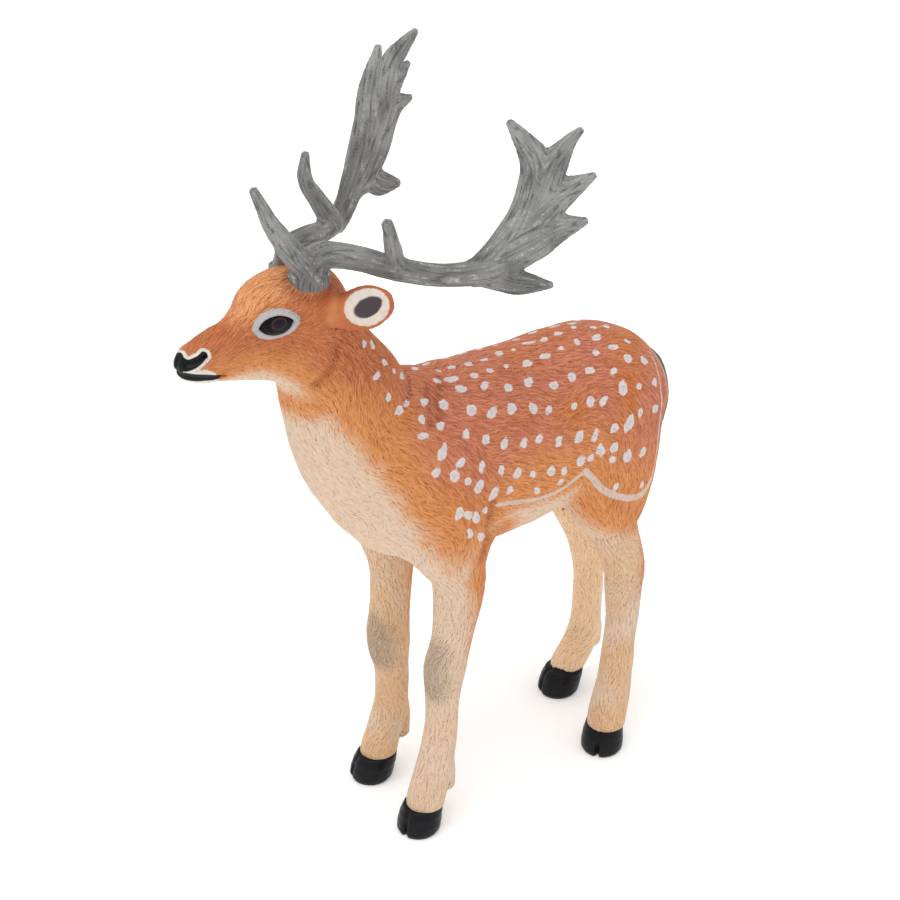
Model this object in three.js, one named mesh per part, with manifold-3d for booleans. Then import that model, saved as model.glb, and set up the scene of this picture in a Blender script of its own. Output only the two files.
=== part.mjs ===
// Fallow buck figurine: a solid moulded toy deer that stands on four cloven hooves, head up and
// looking straight ahead, with a pair of palmate antlers swept back over its neck.
// Millimetres, +Z up. The buck faces -Y and its left side is +X, as the driving tables give it;
// at the end the whole group is moved so that the origin is under the middle of its bounding box.

import * as THREE from "three";
import { mergeVertices } from "three/addons/utils/BufferGeometryUtils.js";
import Module from "manifold-3d";

const wasm = await Module();
wasm.setup();

// ---------------------------------------------------------------- driving dimensions

const GAP = 0.34; // clearance between pieces that touch
const REACH = 200; // larger than the figurine: the side of a cutting block
const WELD = 1e-4; // vertices closer than this are one vertex
const CAP_RINGS = 2; // rings that round off each end of a limb

const SOLE_LEVEL = 0;
const CORONET = { height: 4.5, lean: 0.14 }; // hoof top above the floor, and how much it drops backwards
const CLEFT = { width: 0.7, depth: 1.0, lean: 0.4 }; // split between the toes; it leans back in radians
const SPUR_TAPER = 0.9; // radius of a spur's top over that of its bottom
const BEAD = { sides: 12, rings: 7 }; // facets of an eye or of the hollow of an ear

// A station is one cross-section of a limb: where its middle is (x across, y along, z up), its
// radius, and its flatness, which is its half-width across the body over its radius.

const TRUNK = [
  [0, -15.4, 71.0, 8.5, 0.95], // point of the chest
  [0, -6.4, 64.6, 13.9, 0.86], // shoulders
  [0, 3.0, 64.9, 16.2, 0.78], // girth
  [0, 14.0, 64.8, 15.6, 0.84], // belly
  [0, 24.0, 66.6, 13.7, 0.9], // flank
  [0, 31.6, 67.3, 11.0, 1.0], // croup
  [0, 36.3, 65.5, 7.7, 1.15], // rump
];
const NECK = [
  [0, -7.8, 68.4, 14.9, 0.76], // withers
  [0, -16.0, 74.6, 11.6, 0.78], // base of the neck
  [0, -19.2, 82.0, 10.5, 0.72],
  [0, -22.1, 89.0, 8.6, 0.77], // throat
  [0, -24.1, 95.5, 7.0, 0.88],
  [0, -25.6, 100.4, 5.6, 0.98], // poll
];
const SKULL = [
  [0, -26.0, 101.2, 5.7, 1.0], // braincase
  [0, -30.9, 102.1, 5.2, 1.08], // brow
  [0, -34.9, 100.1, 3.9, 1.0], // eyes
  [0, -40.3, 98.2, 3.1, 0.92], // bridge of the nose
  [0, -45.3, 97.0, 2.8, 0.95], // nose pad
];
const JAW = [
  [0, -26.0, 94.4, 5.2, 0.86], // angle of the jaw
  [0, -31.0, 94.0, 4.1, 0.84], // cheek
  [0, -37.0, 94.5, 2.9, 0.85],
  [0, -42.8, 95.1, 2.0, 0.95], // chin
];
// Stalks of flesh that carry the antlers; this head is moulded with its left one taller.
const PEDICLES = [
  [[2.9, -27.2, 102.0, 3.2, 1], [3.3, -27.0, 105.2, 2.95, 1]],
  [[-2.9, -26.9, 101.0, 2.8, 1], [-3.0, -26.6, 103.8, 2.6, 1]],
];
const MUZZLE = [
  [0, -27.0, 97.8, 6.0, 0.92], // closes the face between skull and jaw
  [0, -33.0, 97.4, 4.9, 0.88],
  [0, -39.0, 96.6, 3.3, 0.88],
  [0, -44.2, 96.2, 2.6, 0.94], // lips
];
const TAIL = [
  [0, 37.5, 71.2, 3.4, 1.0], // root
  [0, 41.9, 68.2, 2.9, 1.1],
  [0, 44.0, 62.7, 2.4, 1.2],
  [0, 44.2, 57.5, 1.7, 1.2], // tip
];

// Legs from the shoulder or thigh inside the trunk down to the coronet, the spur of longer hair
// behind each fetlock, and where the sole stands.
const LEGS = {
  front_left: {
    stations: [
      [6.6, -6.0, 67.0, 10.0, 0.5], // shoulder
      [7.6, -5.0, 58.0, 8.6, 0.6],
      [8.2, -3.9, 50.5, 5.3, 0.8], // elbow
      [8.4, -3.5, 45.5, 4.6, 0.88],
      [8.4, -4.8, 36.8, 3.5, 0.98], // forearm
      [8.4, -6.4, 30.6, 3.6, 1.0], // knee
      [8.4, -6.8, 25.5, 3.0, 1.0],
      [8.5, -7.1, 20.0, 2.8, 1.0], // cannon
      [8.5, -8.1, 13.5, 3.1, 1.0], // fetlock
      [8.5, -10.1, 6.6, 3.3, 1.0],
      [8.6, -10.6, 4.4, 3.3, 1.0], // coronet
    ],
    spur: [8.5, -6.5, 7.2, 13.5, 1.8],
    sole: [8.6, -11.5],
  },
  front_right: {
    stations: [
      [-6.6, -7.0, 67.0, 10.0, 0.5],
      [-7.6, -6.4, 58.0, 8.6, 0.6],
      [-8.2, -5.8, 50.0, 5.9, 0.76],
      [-8.4, -5.2, 43.0, 4.2, 0.9],
      [-8.4, -5.5, 34.5, 3.5, 0.98],
      [-8.3, -6.1, 27.0, 3.75, 1.0],
      [-8.2, -5.7, 22.2, 3.15, 1.0],
      [-8.1, -5.7, 18.0, 3.0, 1.0],
      [-7.9, -6.2, 13.0, 3.0, 1.0],
      [-7.8, -8.7, 5.6, 3.25, 1.0],
      [-7.7, -9.0, 4.2, 3.2, 1.0],
    ],
    spur: [-7.8, -4.2, 7.2, 13.0, 1.7],
    sole: [-7.7, -9.9],
  },
  hind_left: {
    stations: [
      [6.0, 28.8, 67.0, 10.4, 0.6], // hip
      [7.6, 27.9, 60.0, 9.9, 0.62], // thigh
      [8.6, 27.2, 53.0, 8.0, 0.68], // stifle
      [9.0, 27.9, 47.2, 4.8, 0.82],
      [9.2, 30.9, 37.2, 3.75, 0.95], // gaskin
      [9.2, 31.0, 32.5, 3.35, 1.0], // hock
      [9.2, 31.0, 27.0, 3.0, 1.0],
      [9.2, 30.6, 21.5, 2.85, 1.0], // cannon
      [9.3, 29.8, 14.0, 3.1, 1.0], // fetlock
      [9.3, 28.7, 7.6, 3.4, 1.0],
      [9.4, 28.2, 5.0, 3.4, 1.0],
    ],
    spur: [9.3, 31.2, 8.8, 14.0, 1.7],
    sole: [9.4, 27.6],
  },
  hind_right: {
    stations: [
      [-6.0, 30.0, 67.0, 10.4, 0.6],
      [-7.6, 29.2, 60.0, 9.8, 0.62],
      [-8.3, 29.6, 52.0, 8.0, 0.66],
      [-8.6, 32.2, 44.0, 5.0, 0.78],
      [-8.8, 35.0, 37.0, 3.9, 0.9],
      [-8.8, 37.0, 30.5, 3.1, 1.0],
      [-8.7, 38.0, 24.5, 2.85, 1.0],
      [-8.6, 38.0, 19.0, 2.8, 1.0],
      [-8.4, 37.5, 13.0, 2.85, 1.0],
      [-8.3, 36.2, 9.0, 3.0, 1.0],
      [-8.2, 33.3, 5.0, 3.1, 1.0],
    ],
    spur: [-8.4, 39.1, 8.2, 14.0, 1.7],
    sole: [-8.1, 32.0],
  },
};

// A hoof in its own frame: distance back from the middle of the sole, height, radius.
const TOE_OUT = { front_left: 13, front_right: 16, hind_left: 36, hind_right: 14 }; // degrees
const HOOF = [
  [1.1, 6.2, 2.9],
  [0.8, 4.4, 3.25],
  [-0.1, 2.2, 3.75],
  [-0.5, 0.0, 3.95],
  [-0.5, -3.0, 3.95],
];

// Left ear and eye; the right ones are mirrored, and the right ear droops a little more to clear
// its antler.
const EAR = {
  stations: [
    [5.0, -24.2, 100.8, 2.2, 0.8],
    [7.7, -22.9, 101.9, 3.0, 0.5],
    [10.4, -21.6, 103.2, 3.4, 0.43],
    [12.2, -20.5, 104.1, 2.55, 0.45],
  ],
  facing: [0.45, -0.75, 0.42],
  bowl: { at: [10.8, -21.5, 103.4], stand: 1.15, size: [3.5, 2.3, 1.5] },
  droop: { left: 0, right: 0.3 }, // fall towards the tip, per millimetre outwards
};
const EYE = { at: [3.55, -33.2, 101.5], size: [2.9, 2.1, 1.9], yaw: 21, roll: -6 };

// Antlers: a round beam, two round tines and a flat palm whose fingers end in points.
const ANTLERS = {
  left: {
    beam: [
      [3.3, -27.0, 106.5, 3.15, 1],
      [3.5, -26.9, 108.4, 2.6, 1],
      [4.6, -25.2, 110.4, 2.1, 1],
      [7.0, -20.6, 109.4, 1.95, 1],
      [9.7, -15.6, 107.3, 1.9, 1],
      [12.5, -10.2, 105.9, 1.8, 1],
      [15.3, -5.7, 106.1, 2.0, 1],
      [17.0, -2.6, 107.0, 2.1, 1],
    ],
    brow_tine: [
      [3.8, -27.6, 108.7, 2.1, 1],
      [4.0, -30.5, 112.4, 1.9, 1],
      [4.4, -33.7, 117.6, 1.4, 1],
      [4.8, -36.5, 123.6, 0.75, 1],
    ],
    trez_tine: [
      [9.7, -15.8, 107.6, 1.6, 1],
      [10.5, -17.0, 111.5, 1.35, 1],
      [11.4, -18.5, 116.0, 0.95, 1],
    ],
    palm: {
      facing: [-0.88, 0.48, -0.05],
      root: [15.6, -5.3, 106.2],
      fingers: [
        [[15.3, -5.7, 106.1, 2.1], [17.0, -2.2, 109.7, 2.5], [18.3, 0.8, 114.5, 2.65],
          [18.8, 2.1, 119.4, 2.5], [18.6, 2.35, 123.4, 2.35], [16.8, -0.6, 128.9, 0.8]],
        [[18.5, 1.1, 114.5, 2.4], [19.5, 3.4, 119.0, 2.6], [20.1, 4.8, 122.6, 2.3],
          [20.8, 6.4, 125.3, 1.4], [21.6, 8.1, 127.2, 0.75]],
        [[18.2, 0.3, 112.5, 2.4], [19.7, 3.6, 116.1, 3.0], [21.0, 6.2, 118.1, 2.3],
          [22.9, 9.7, 120.2, 0.75]],
        [[17.3, -1.5, 108.5, 3.3], [19.2, 1.8, 110.8, 3.4], [20.7, 4.8, 112.3, 2.5],
          [22.6, 8.5, 113.2, 0.85]],
        [[15.3, -5.7, 106.1, 2.1], [17.2, -2.2, 104.7, 2.1], [18.8, 0.4, 104.0, 2.0],
          [20.7, 4.0, 103.4, 0.7]],
      ],
    },
  },
  right: {
    beam: [
      [-3.0, -26.6, 104.9, 2.75, 1],
      [-3.1, -26.5, 106.4, 2.25, 1],
      [-4.8, -25.0, 107.8, 2.0, 1],
      [-7.5, -20.6, 107.0, 1.9, 1],
      [-11.2, -15.4, 105.1, 1.8, 1],
      [-14.0, -10.7, 104.5, 1.65, 1],
      [-14.9, -8.6, 106.4, 1.7, 1],
    ],
    brow_tine: [
      [-2.9, -26.8, 106.6, 1.7, 1],
      [-1.9, -28.2, 110.4, 1.3, 1],
      [-1.0, -30.0, 114.4, 1.0, 1],
      [-0.4, -31.6, 117.8, 0.6, 1],
    ],
    trez_tine: [
      [-12.4, -12.7, 105.8, 1.9, 1],
      [-13.2, -14.6, 109.6, 1.5, 1],
      [-14.1, -16.1, 112.9, 1.3, 1],
      [-14.3, -15.8, 116.8, 0.75, 1],
    ],
    palm: {
      facing: [0.97, 0.2, 0.12],
      root: [-14.6, -9.5, 104.6],
      fingers: [
        [[-14.1, -10.1, 103.9, 1.6], [-15.0, -7.8, 107.3, 2.4], [-16.3, -4.9, 112.3, 2.75],
          [-17.4, -2.6, 117.9, 2.65], [-18.2, -1.2, 122.8, 2.4], [-19.6, 1.4, 128.3, 0.75]],
        [[-16.8, -2.9, 113.4, 2.6], [-18.2, 0.7, 118.7, 2.8], [-19.1, 2.4, 122.7, 2.8],
          [-19.9, 4.5, 125.7, 2.2], [-21.2, 9.4, 128.6, 0.75]],
        [[-18.0, -0.2, 117.9, 2.4], [-19.0, 2.8, 121.3, 2.4], [-20.3, 7.3, 124.1, 0.7]],
        [[-16.2, -3.7, 109.9, 2.5], [-17.2, -0.8, 113.1, 2.8], [-18.2, 1.7, 116.9, 2.5],
          [-18.9, 4.3, 118.6, 1.7], [-19.5, 7.1, 118.8, 0.7]],
        [[-15.3, -6.9, 108.1, 1.8], [-16.3, -3.0, 108.8, 2.3], [-16.6, -0.5, 107.2, 2.1],
          [-17.1, 2.7, 106.2, 0.95]],
      ],
    },
  },
};

// Flatness of a palm's finger where its radius is above the first value.
const FINGER = [[1.8, 0.45], [1.1, 0.6], [0, 0.85]];

// Cuts that part the flesh: a point of the plane and the way it faces.
const CUTS = {
  head: { at: [0, -25.2, 92.6], facing: [0, -0.575, 0.818] },
  neck: { at: [0, -16.0, 74.0], facing: [0, -0.78, 0.63] },
  front_legs: { at: [0, -5.0, 47.6], facing: [0, 0, -1] },
  hind_legs: { at: [0, 28.0, 49.3], facing: [0, 0, -1] },
};
const MID_BODY = 19; // the front legs are ahead of this y and the hind legs behind it

const FINISH = {
  coat: { color: 0xbe6c3c, roughness: 0.55 },
  cream: { color: 0xd8b28c, roughness: 0.55 },
  antler: { color: 0x7d7e7d, roughness: 0.6 },
  hoof: { color: 0x1c1c20, roughness: 0.3 },
  eye: { color: 0x2b1a14, roughness: 0.1 },
};

// ---------------------------------------------------------------- shapes

/** A closed three.js geometry as a manifold solid. */
function solidOf(geometry) {
  geometry.deleteAttribute("normal");
  geometry.deleteAttribute("uv");
  const welded = mergeVertices(geometry, WELD);
  return new wasm.Manifold(
    new wasm.Mesh({
      numProp: 3,
      vertProperties: new Float32Array(welded.attributes.position.array),
      triVerts: new Uint32Array(welded.index.array),
    }),
  );
}

/** A manifold solid as a three.js geometry. */
function geometryOf(solid) {
  const mesh = solid.getMesh();
  const geometry = new THREE.BufferGeometry();
  geometry.setAttribute("position", new THREE.BufferAttribute(mesh.vertProperties, 3));
  geometry.setIndex(new THREE.BufferAttribute(mesh.triVerts, 1));
  geometry.computeVertexNormals();
  return geometry;
}

/**
 * A round-ended limb through its stations: a sphere whose rings are carried along a smooth spine.
 * `across` is the way that flatness narrows, and `grow` adds clearance to every radius.
 */
function limb(stations, { sides = 12, steps = 12, across = [1, 0, 0], grow = 0 } = {}) {
  const spine = new THREE.CatmullRomCurve3(stations.map(([x, y, z]) => new THREE.Vector3(x, y, z)));
  const girth = new THREE.CatmullRomCurve3(stations.map(([, , , r, k]) => new THREE.Vector3(r, k, 0)));
  const rings = steps + 2 * CAP_RINGS;
  const geometry = new THREE.SphereGeometry(1, sides, rings);
  const position = geometry.attributes.position;
  for (let i = 0; i < position.count; i++) {
    const ring = Math.floor(i / (sides + 1));
    const turn = ((i % (sides + 1)) / sides) * 2 * Math.PI;
    const t = THREE.MathUtils.clamp((ring - CAP_RINGS) / steps, 0, 1);
    const past = ring - CAP_RINGS - t * steps; // rings beyond either end of the spine
    const fall = (past / CAP_RINGS) * (Math.PI / 2);
    const centre = spine.getPoint(t);
    const tangent = spine.getTangent(t);
    const side = new THREE.Vector3(...across).projectOnPlane(tangent).normalize();
    const up = new THREE.Vector3().crossVectors(tangent, side);
    const { x: radius, y: flatness } = girth.getPoint(t);
    const wide = (radius * flatness + grow) * Math.cos(fall);
    const high = (radius + grow) * Math.cos(fall);
    centre.addScaledVector(tangent, Math.sin(fall) * (radius * Math.min(flatness, 1) + grow));
    centre.addScaledVector(side, -Math.cos(turn) * wide);
    centre.addScaledVector(up, Math.sin(turn) * high);
    position.setXYZ(i, centre.x, centre.y, centre.z);
  }
  return solidOf(geometry);
}

/** An ellipsoid with its half-sizes along `size`, turned by `rotation` and set at `at`. */
function ellipsoid(at, size, rotation, grow = 0) {
  const geometry = new THREE.SphereGeometry(1, BEAD.sides, BEAD.rings);
  geometry.scale(...size.map((half) => half + grow));
  geometry.applyMatrix4(new THREE.Matrix4().makeRotationFromEuler(rotation));
  geometry.translate(...at);
  return solidOf(geometry);
}

/** Everything ahead of a plane, as a block that starts `offset` past it. */
function ahead({ at, facing }, offset = 0) {
  const normal = new THREE.Vector3(...facing).normalize();
  const geometry = new THREE.BoxGeometry(REACH, REACH, REACH);
  geometry.translate(0, 0, REACH / 2 + offset);
  const turn = new THREE.Quaternion().setFromUnitVectors(new THREE.Vector3(0, 0, 1), normal);
  geometry.applyMatrix4(new THREE.Matrix4().makeRotationFromQuaternion(turn));
  geometry.translate(...at);
  return solidOf(geometry);
}

/** What of a solid is ahead of a cut and what is behind it, with the clearance between them. */
function part(solid, cut) {
  const front = solid.intersect(ahead(cut, GAP / 2));
  const back = solid.subtract(ahead(cut, -GAP / 2));
  return [front, back];
}

const joined = (solids) => solids.reduce((all, next) => all.add(next));
const mirrored = (solid) => solid.mirror([1, 0, 0]);

// ---------------------------------------------------------------- flesh

const legSolid = ({ stations, spur: [x, y, low, high, radius] }) => {
  const tuft = [[x, y, high, radius * SPUR_TAPER, 1], [x, y, low, radius, 1]];
  return limb(stations, { sides: 10, steps: 17 }).add(limb(tuft, { sides: 8, steps: 2 }));
};

const headLimbs = (grow) => [
  limb(SKULL, { sides: 14, steps: 8, grow }),
  limb(MUZZLE, { sides: 10, steps: 5, grow }),
  limb(JAW, { sides: 10, steps: 5, grow }),
  ...PEDICLES.map((rows) => limb(rows, { sides: 10, steps: 2, grow })),
];
const trunkLimb = (grow) => limb(TRUNK, { sides: 16, steps: 13, grow });
const neckLimb = (grow) => limb(NECK, { sides: 16, steps: 8, grow });
const legSolids = Object.values(LEGS).map(legSolid);
const flesh = joined([trunkLimb(0), neckLimb(0), ...headLimbs(0), ...legSolids]);

const [headFlesh, belowHead] = part(flesh, CUTS.head);
const [neckFlesh, body] = part(belowHead, CUTS.neck);

/** The part of the body below a leg cut, ahead of or behind the middle, on one side. */
function legBelow(cut, back, side) {
  const region = part(body, cut)[0];
  const half = ahead({ at: [0, MID_BODY, 0], facing: [0, back ? 1 : -1, 0] });
  const flank = ahead({ at: [0, 0, 0], facing: [side, 0, 0] });
  return region.intersect(half).intersect(flank);
}

/** The coronet plane of a hoof: it faces up, and drops towards the heel. */
const coronet = ([x, y]) => ({ at: [x, y, CORONET.height], facing: [0, CORONET.lean, 1] });

const legNodes = {};
for (const [name, { sole }] of Object.entries(LEGS)) {
  const back = name.startsWith("hind");
  const cut = back ? CUTS.hind_legs : CUTS.front_legs;
  const leg = legBelow(cut, back, Math.sign(sole[0]));
  legNodes[name] = part(leg, coronet(sole))[0];
}

const torso = (() => {
  const frontSlab = ahead({ at: [0, MID_BODY, 0], facing: [0, -1, 0] });
  const hindSlab = ahead({ at: [0, MID_BODY, 0], facing: [0, 1, 0] });
  const belowFront = ahead(CUTS.front_legs, -GAP / 2).intersect(frontSlab);
  const belowHind = ahead(CUTS.hind_legs, -GAP / 2).intersect(hindSlab);
  return body.subtract(belowFront).subtract(belowHind);
})();

/** The tail hangs clear of the rump by the usual gap. */
const rumpRoom = joined([
  trunkLimb(GAP),
  limb(LEGS.hind_left.stations, { sides: 10, steps: 17, grow: GAP }),
  limb(LEGS.hind_right.stations, { sides: 10, steps: 17, grow: GAP }),
]);
const tail = limb(TAIL, { sides: 10, steps: 8 }).subtract(rumpRoom);

// ---------------------------------------------------------------- head pieces

const headRoom = joined([...headLimbs(GAP), neckLimb(GAP)]);

const eyeTurn = new THREE.Euler(0, 0, 0, "ZYX").set(
  THREE.MathUtils.degToRad(EYE.roll), 0, THREE.MathUtils.degToRad(-EYE.yaw),
);
const eyeSize = [EYE.size[2], EYE.size[0], EYE.size[1]]; // depth, length, height
const eye = ellipsoid(EYE.at, eyeSize, eyeTurn);
const eyeSocket = ellipsoid(EYE.at, eyeSize, eyeTurn, GAP);

/** An ear: a flattened limb, hollowed on the side that faces forward, and drooping by a slope. */
function earSolid(droop) {
  const { facing, bowl } = EAR;
  const root = EAR.stations[0][0];
  const stations = EAR.stations.map(([x, y, z, r, k]) => [x, y, z - droop * (x - root), r, k]);
  const shell = limb(stations, { sides: 10, steps: 6, across: facing });
  const normal = new THREE.Vector3(...facing).normalize();
  const along = new THREE.Vector3(...stations.at(-1)).sub(new THREE.Vector3(...stations[0]));
  along.projectOnPlane(normal).normalize();
  const over = new THREE.Vector3().crossVectors(normal, along);
  const turn = new THREE.Matrix4().makeBasis(along, over, normal);
  const at = new THREE.Vector3(...bowl.at).addScaledVector(normal, bowl.stand);
  at.z -= droop * (at.x - root);
  const rotation = new THREE.Euler().setFromRotationMatrix(turn);
  return shell.subtract(ellipsoid(at.toArray(), bowl.size, rotation)).subtract(headRoom);
}
const headSolid = headFlesh.subtract(eyeSocket).subtract(mirrored(eyeSocket));

// ---------------------------------------------------------------- hooves

/** A hoof standing on its flat sole, its toes turned outwards, split in front between them. */
function hoofSolid(sole, toeOut) {
  const [x, y] = sole;
  const turn = Math.sign(x) * THREE.MathUtils.degToRad(toeOut);
  const place = (back, z, r) => [x - back * Math.sin(turn), y + back * Math.cos(turn), z, r, 1];
  const wall = limb(HOOF.map((row) => place(...row)), { sides: 14, steps: 5 });
  const capped = part(wall, coronet(sole))[1];
  const standing = capped.intersect(ahead({ at: [0, 0, SOLE_LEVEL], facing: [0, 0, 1] }));
  const [heel, , girth] = HOOF.at(-1);
  const groove = new THREE.BoxGeometry(CLEFT.width, 2 * CLEFT.depth, REACH);
  groove.rotateX(-CLEFT.lean);
  groove.translate(0, heel - girth, SOLE_LEVEL);
  groove.rotateZ(turn);
  groove.translate(x, y, 0);
  return standing.subtract(solidOf(groove));
}

// ---------------------------------------------------------------- antlers

/** The flatness of a palm's finger: a thin plate that turns round towards its point. */
const fingerFlatness = (radius) => FINGER.find(([from]) => radius > from)[1];

/** The four solids of one antler, each clear of the piece that it grows from. */
function antlerSolids({ beam, brow_tine, trez_tine, palm }) {
  const cut = { at: palm.root, facing: palm.fingers[0][1].slice(0, 3).map((v, i) => v - palm.root[i]) };
  const room = limb(beam, { sides: 9, steps: 14, grow: GAP });
  const plate = joined(palm.fingers.map((finger) => limb(
    finger.map(([x, y, z, r]) => [x, y, z, r, fingerFlatness(r)]),
    { sides: 8, steps: finger.length, across: palm.facing },
  )));
  return {
    beam: part(limb(beam, { sides: 9, steps: 14 }).subtract(headRoom), cut)[1],
    brow_tine: limb(brow_tine, { sides: 8, steps: 6 }).subtract(room).subtract(headRoom),
    trez_tine: limb(trez_tine, { sides: 8, steps: 5 }).subtract(room),
    palm: part(plate, cut)[0],
  };
}

// ---------------------------------------------------------------- assembly

const deer = new THREE.Group();

/** Adds one named node with its finish. */
function addNode(name, solid, finish) {
  const mesh = new THREE.Mesh(geometryOf(solid), new THREE.MeshStandardMaterial(finish));
  mesh.name = name;
  deer.add(mesh);
}

addNode("trunk", torso, FINISH.coat);
addNode("neck", neckFlesh, FINISH.coat);
addNode("head", headSolid, FINISH.coat);
addNode("tail", tail, FINISH.coat);
addNode("ear_left", earSolid(EAR.droop.left), FINISH.coat);
addNode("ear_right", mirrored(earSolid(EAR.droop.right)), FINISH.coat);
addNode("eye_left", eye, FINISH.eye);
addNode("eye_right", mirrored(eye), FINISH.eye);
for (const [name, { sole }] of Object.entries(LEGS)) {
  addNode(`leg_${name}`, legNodes[name], FINISH.cream);
  addNode(`hoof_${name}`, hoofSolid(sole, TOE_OUT[name]), FINISH.hoof);
}
for (const [side, antler] of Object.entries(ANTLERS)) {
  for (const [piece, solid] of Object.entries(antlerSolids(antler))) {
    addNode(`antler_${side}_${piece}`, solid, FINISH.antler);
  }
}

const box = new THREE.Box3().setFromObject(deer);
const middle = box.getCenter(new THREE.Vector3());
deer.position.set(-middle.x, -middle.y, -box.min.z);

export default deer;
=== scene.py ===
"""Looks of a fallow buck figurine: one solid PVC moulding with carved hair, painted by hand.

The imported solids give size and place. One skin replaces the parted flesh, and low carved locks of
hair lie on it. Eyes, hooves and antlers are pieces of their own.

Forms are worked out in millimetres about the body's midline, with the buck facing -Y and its left
side at +X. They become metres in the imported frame's own place when a piece is finished.
"""

import logging
import math
from collections.abc import Callable, Iterator, Sequence
from contextlib import contextmanager
from dataclasses import dataclass, field
from enum import Enum

import bmesh
import bpy
import numpy as np
from mathutils import Matrix, Vector, noise
from mathutils.kdtree import KDTree


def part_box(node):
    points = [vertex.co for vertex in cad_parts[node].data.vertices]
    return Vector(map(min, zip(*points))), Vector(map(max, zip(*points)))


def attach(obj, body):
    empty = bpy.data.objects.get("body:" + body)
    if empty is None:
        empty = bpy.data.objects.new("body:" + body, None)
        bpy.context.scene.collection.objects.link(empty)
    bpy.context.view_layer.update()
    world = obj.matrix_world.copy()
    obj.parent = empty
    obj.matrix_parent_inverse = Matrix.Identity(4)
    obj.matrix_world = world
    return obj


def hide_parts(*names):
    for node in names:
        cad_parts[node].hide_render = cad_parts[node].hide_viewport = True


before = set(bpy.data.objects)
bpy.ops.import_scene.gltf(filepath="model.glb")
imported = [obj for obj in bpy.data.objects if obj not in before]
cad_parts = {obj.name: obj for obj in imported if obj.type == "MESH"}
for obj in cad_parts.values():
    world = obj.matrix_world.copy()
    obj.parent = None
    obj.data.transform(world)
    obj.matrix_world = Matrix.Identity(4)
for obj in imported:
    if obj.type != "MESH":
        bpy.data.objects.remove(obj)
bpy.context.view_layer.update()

log = logging.getLogger("buck")

Array = np.ndarray
Row = Sequence[float]
Rows = Sequence[Row]
Socket = bpy.types.NodeSocket

MM = 0.001
FAR = 30.0  # stands for "nowhere near", in millimetres
TINY = 1e-9
SEED = 20


# ------------------------------------------------------------------ small tools


def unit(vectors: Array) -> Array:
    """Vectors of length one along the last axis."""
    vectors = np.asarray(vectors, float)
    return vectors / (np.linalg.norm(vectors, axis=-1, keepdims=True) + TINY)


def smoothstep(low: float, high: float, values: Array) -> Array:
    """0 below ``low``, 1 above ``high`` and smooth between them."""
    share = np.clip((values - low) / (high - low), 0, 1)
    return share * share * (3 - 2 * share)


def blended(first: Array, second: Array, blend: float) -> Array:
    """The smaller of two distances, with a soft fillet ``blend`` wide where they cross."""
    share = np.clip(0.5 + 0.5 * (second - first) / blend, 0, 1)
    return second * (1 - share) + first * share - blend * share * (1 - share)


def perlin(points: Array, size: float, offset: float = 0.0) -> Array:
    """Perlin noise between -1 and 1, one wave about ``size`` millimetres long."""
    scaled = np.asarray(points) / size + offset
    return np.fromiter((noise.noise(p) for p in scaled.tolist()), float, len(scaled))


def spline(rows: Rows, cuts: int) -> Array:
    """Rows along a smooth curve through the given rows.

    Args:
        rows: the rows that it passes through.
        cuts: stretches between two given rows.

    Returns:
        All rows, the given ones among them.
    """
    rows = np.asarray(rows, float)
    if len(rows) == 1:
        return np.vstack([rows, rows + TINY])
    padded = np.vstack([2 * rows[0] - rows[1], rows, 2 * rows[-1] - rows[-2]])
    share = (np.arange(cuts) / cuts)[:, None]
    stretches = []
    for before, start, end, after in zip(padded, padded[1:], padded[2:], padded[3:]):
        bend = 2 * before - 5 * start + 4 * end - after
        twist = 3 * start - before - 3 * end + after
        stretches.append(start + ((end - before) * share + bend * share**2 + twist * share**3) / 2)
    return np.vstack([*stretches, rows[-1]])


def mirrored(rows: Rows) -> list[Row]:
    """The rows on the other side of the midline."""
    return [(-row[0], *row[1:]) for row in rows]


def folded(points: Array) -> Array:
    """The points with those of the right side brought over to the left."""
    return np.column_stack([np.abs(points[:, 0]), points[:, 1:]])


@contextmanager
def edited(mesh: bpy.types.Mesh) -> Iterator[bmesh.types.BMesh]:
    """Opens a mesh for changes and puts them in it at the end."""
    bm = bmesh.new()
    bm.from_mesh(mesh)
    yield bm
    bm.to_mesh(mesh)
    bm.free()


def vertex_rows(mesh: bpy.types.Mesh, name: str = "co") -> Array:
    """One vector of every vertex."""
    values = np.empty(len(mesh.vertices) * 3, np.float32)
    mesh.vertices.foreach_get(name, values)
    return values.reshape(-1, 3).astype(float)


def added(name: str, data: bpy.types.ID) -> bpy.types.Object:
    """A new object in the scene."""
    made = bpy.data.objects.new(name, data)
    bpy.context.scene.collection.objects.link(made)
    return made


# ------------------------------------------------------------------ forms


@dataclass
class Nearest:
    """What of a limb is nearest to each point."""

    distance: Array
    along: Array
    across: Array
    tangent: Array

    def only(self, mine: Array) -> "Nearest":
        """The part of it that belongs to some of the points."""
        return Nearest(self.distance[mine], self.along[mine], self.across[mine], self.tangent[mine])


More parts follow.
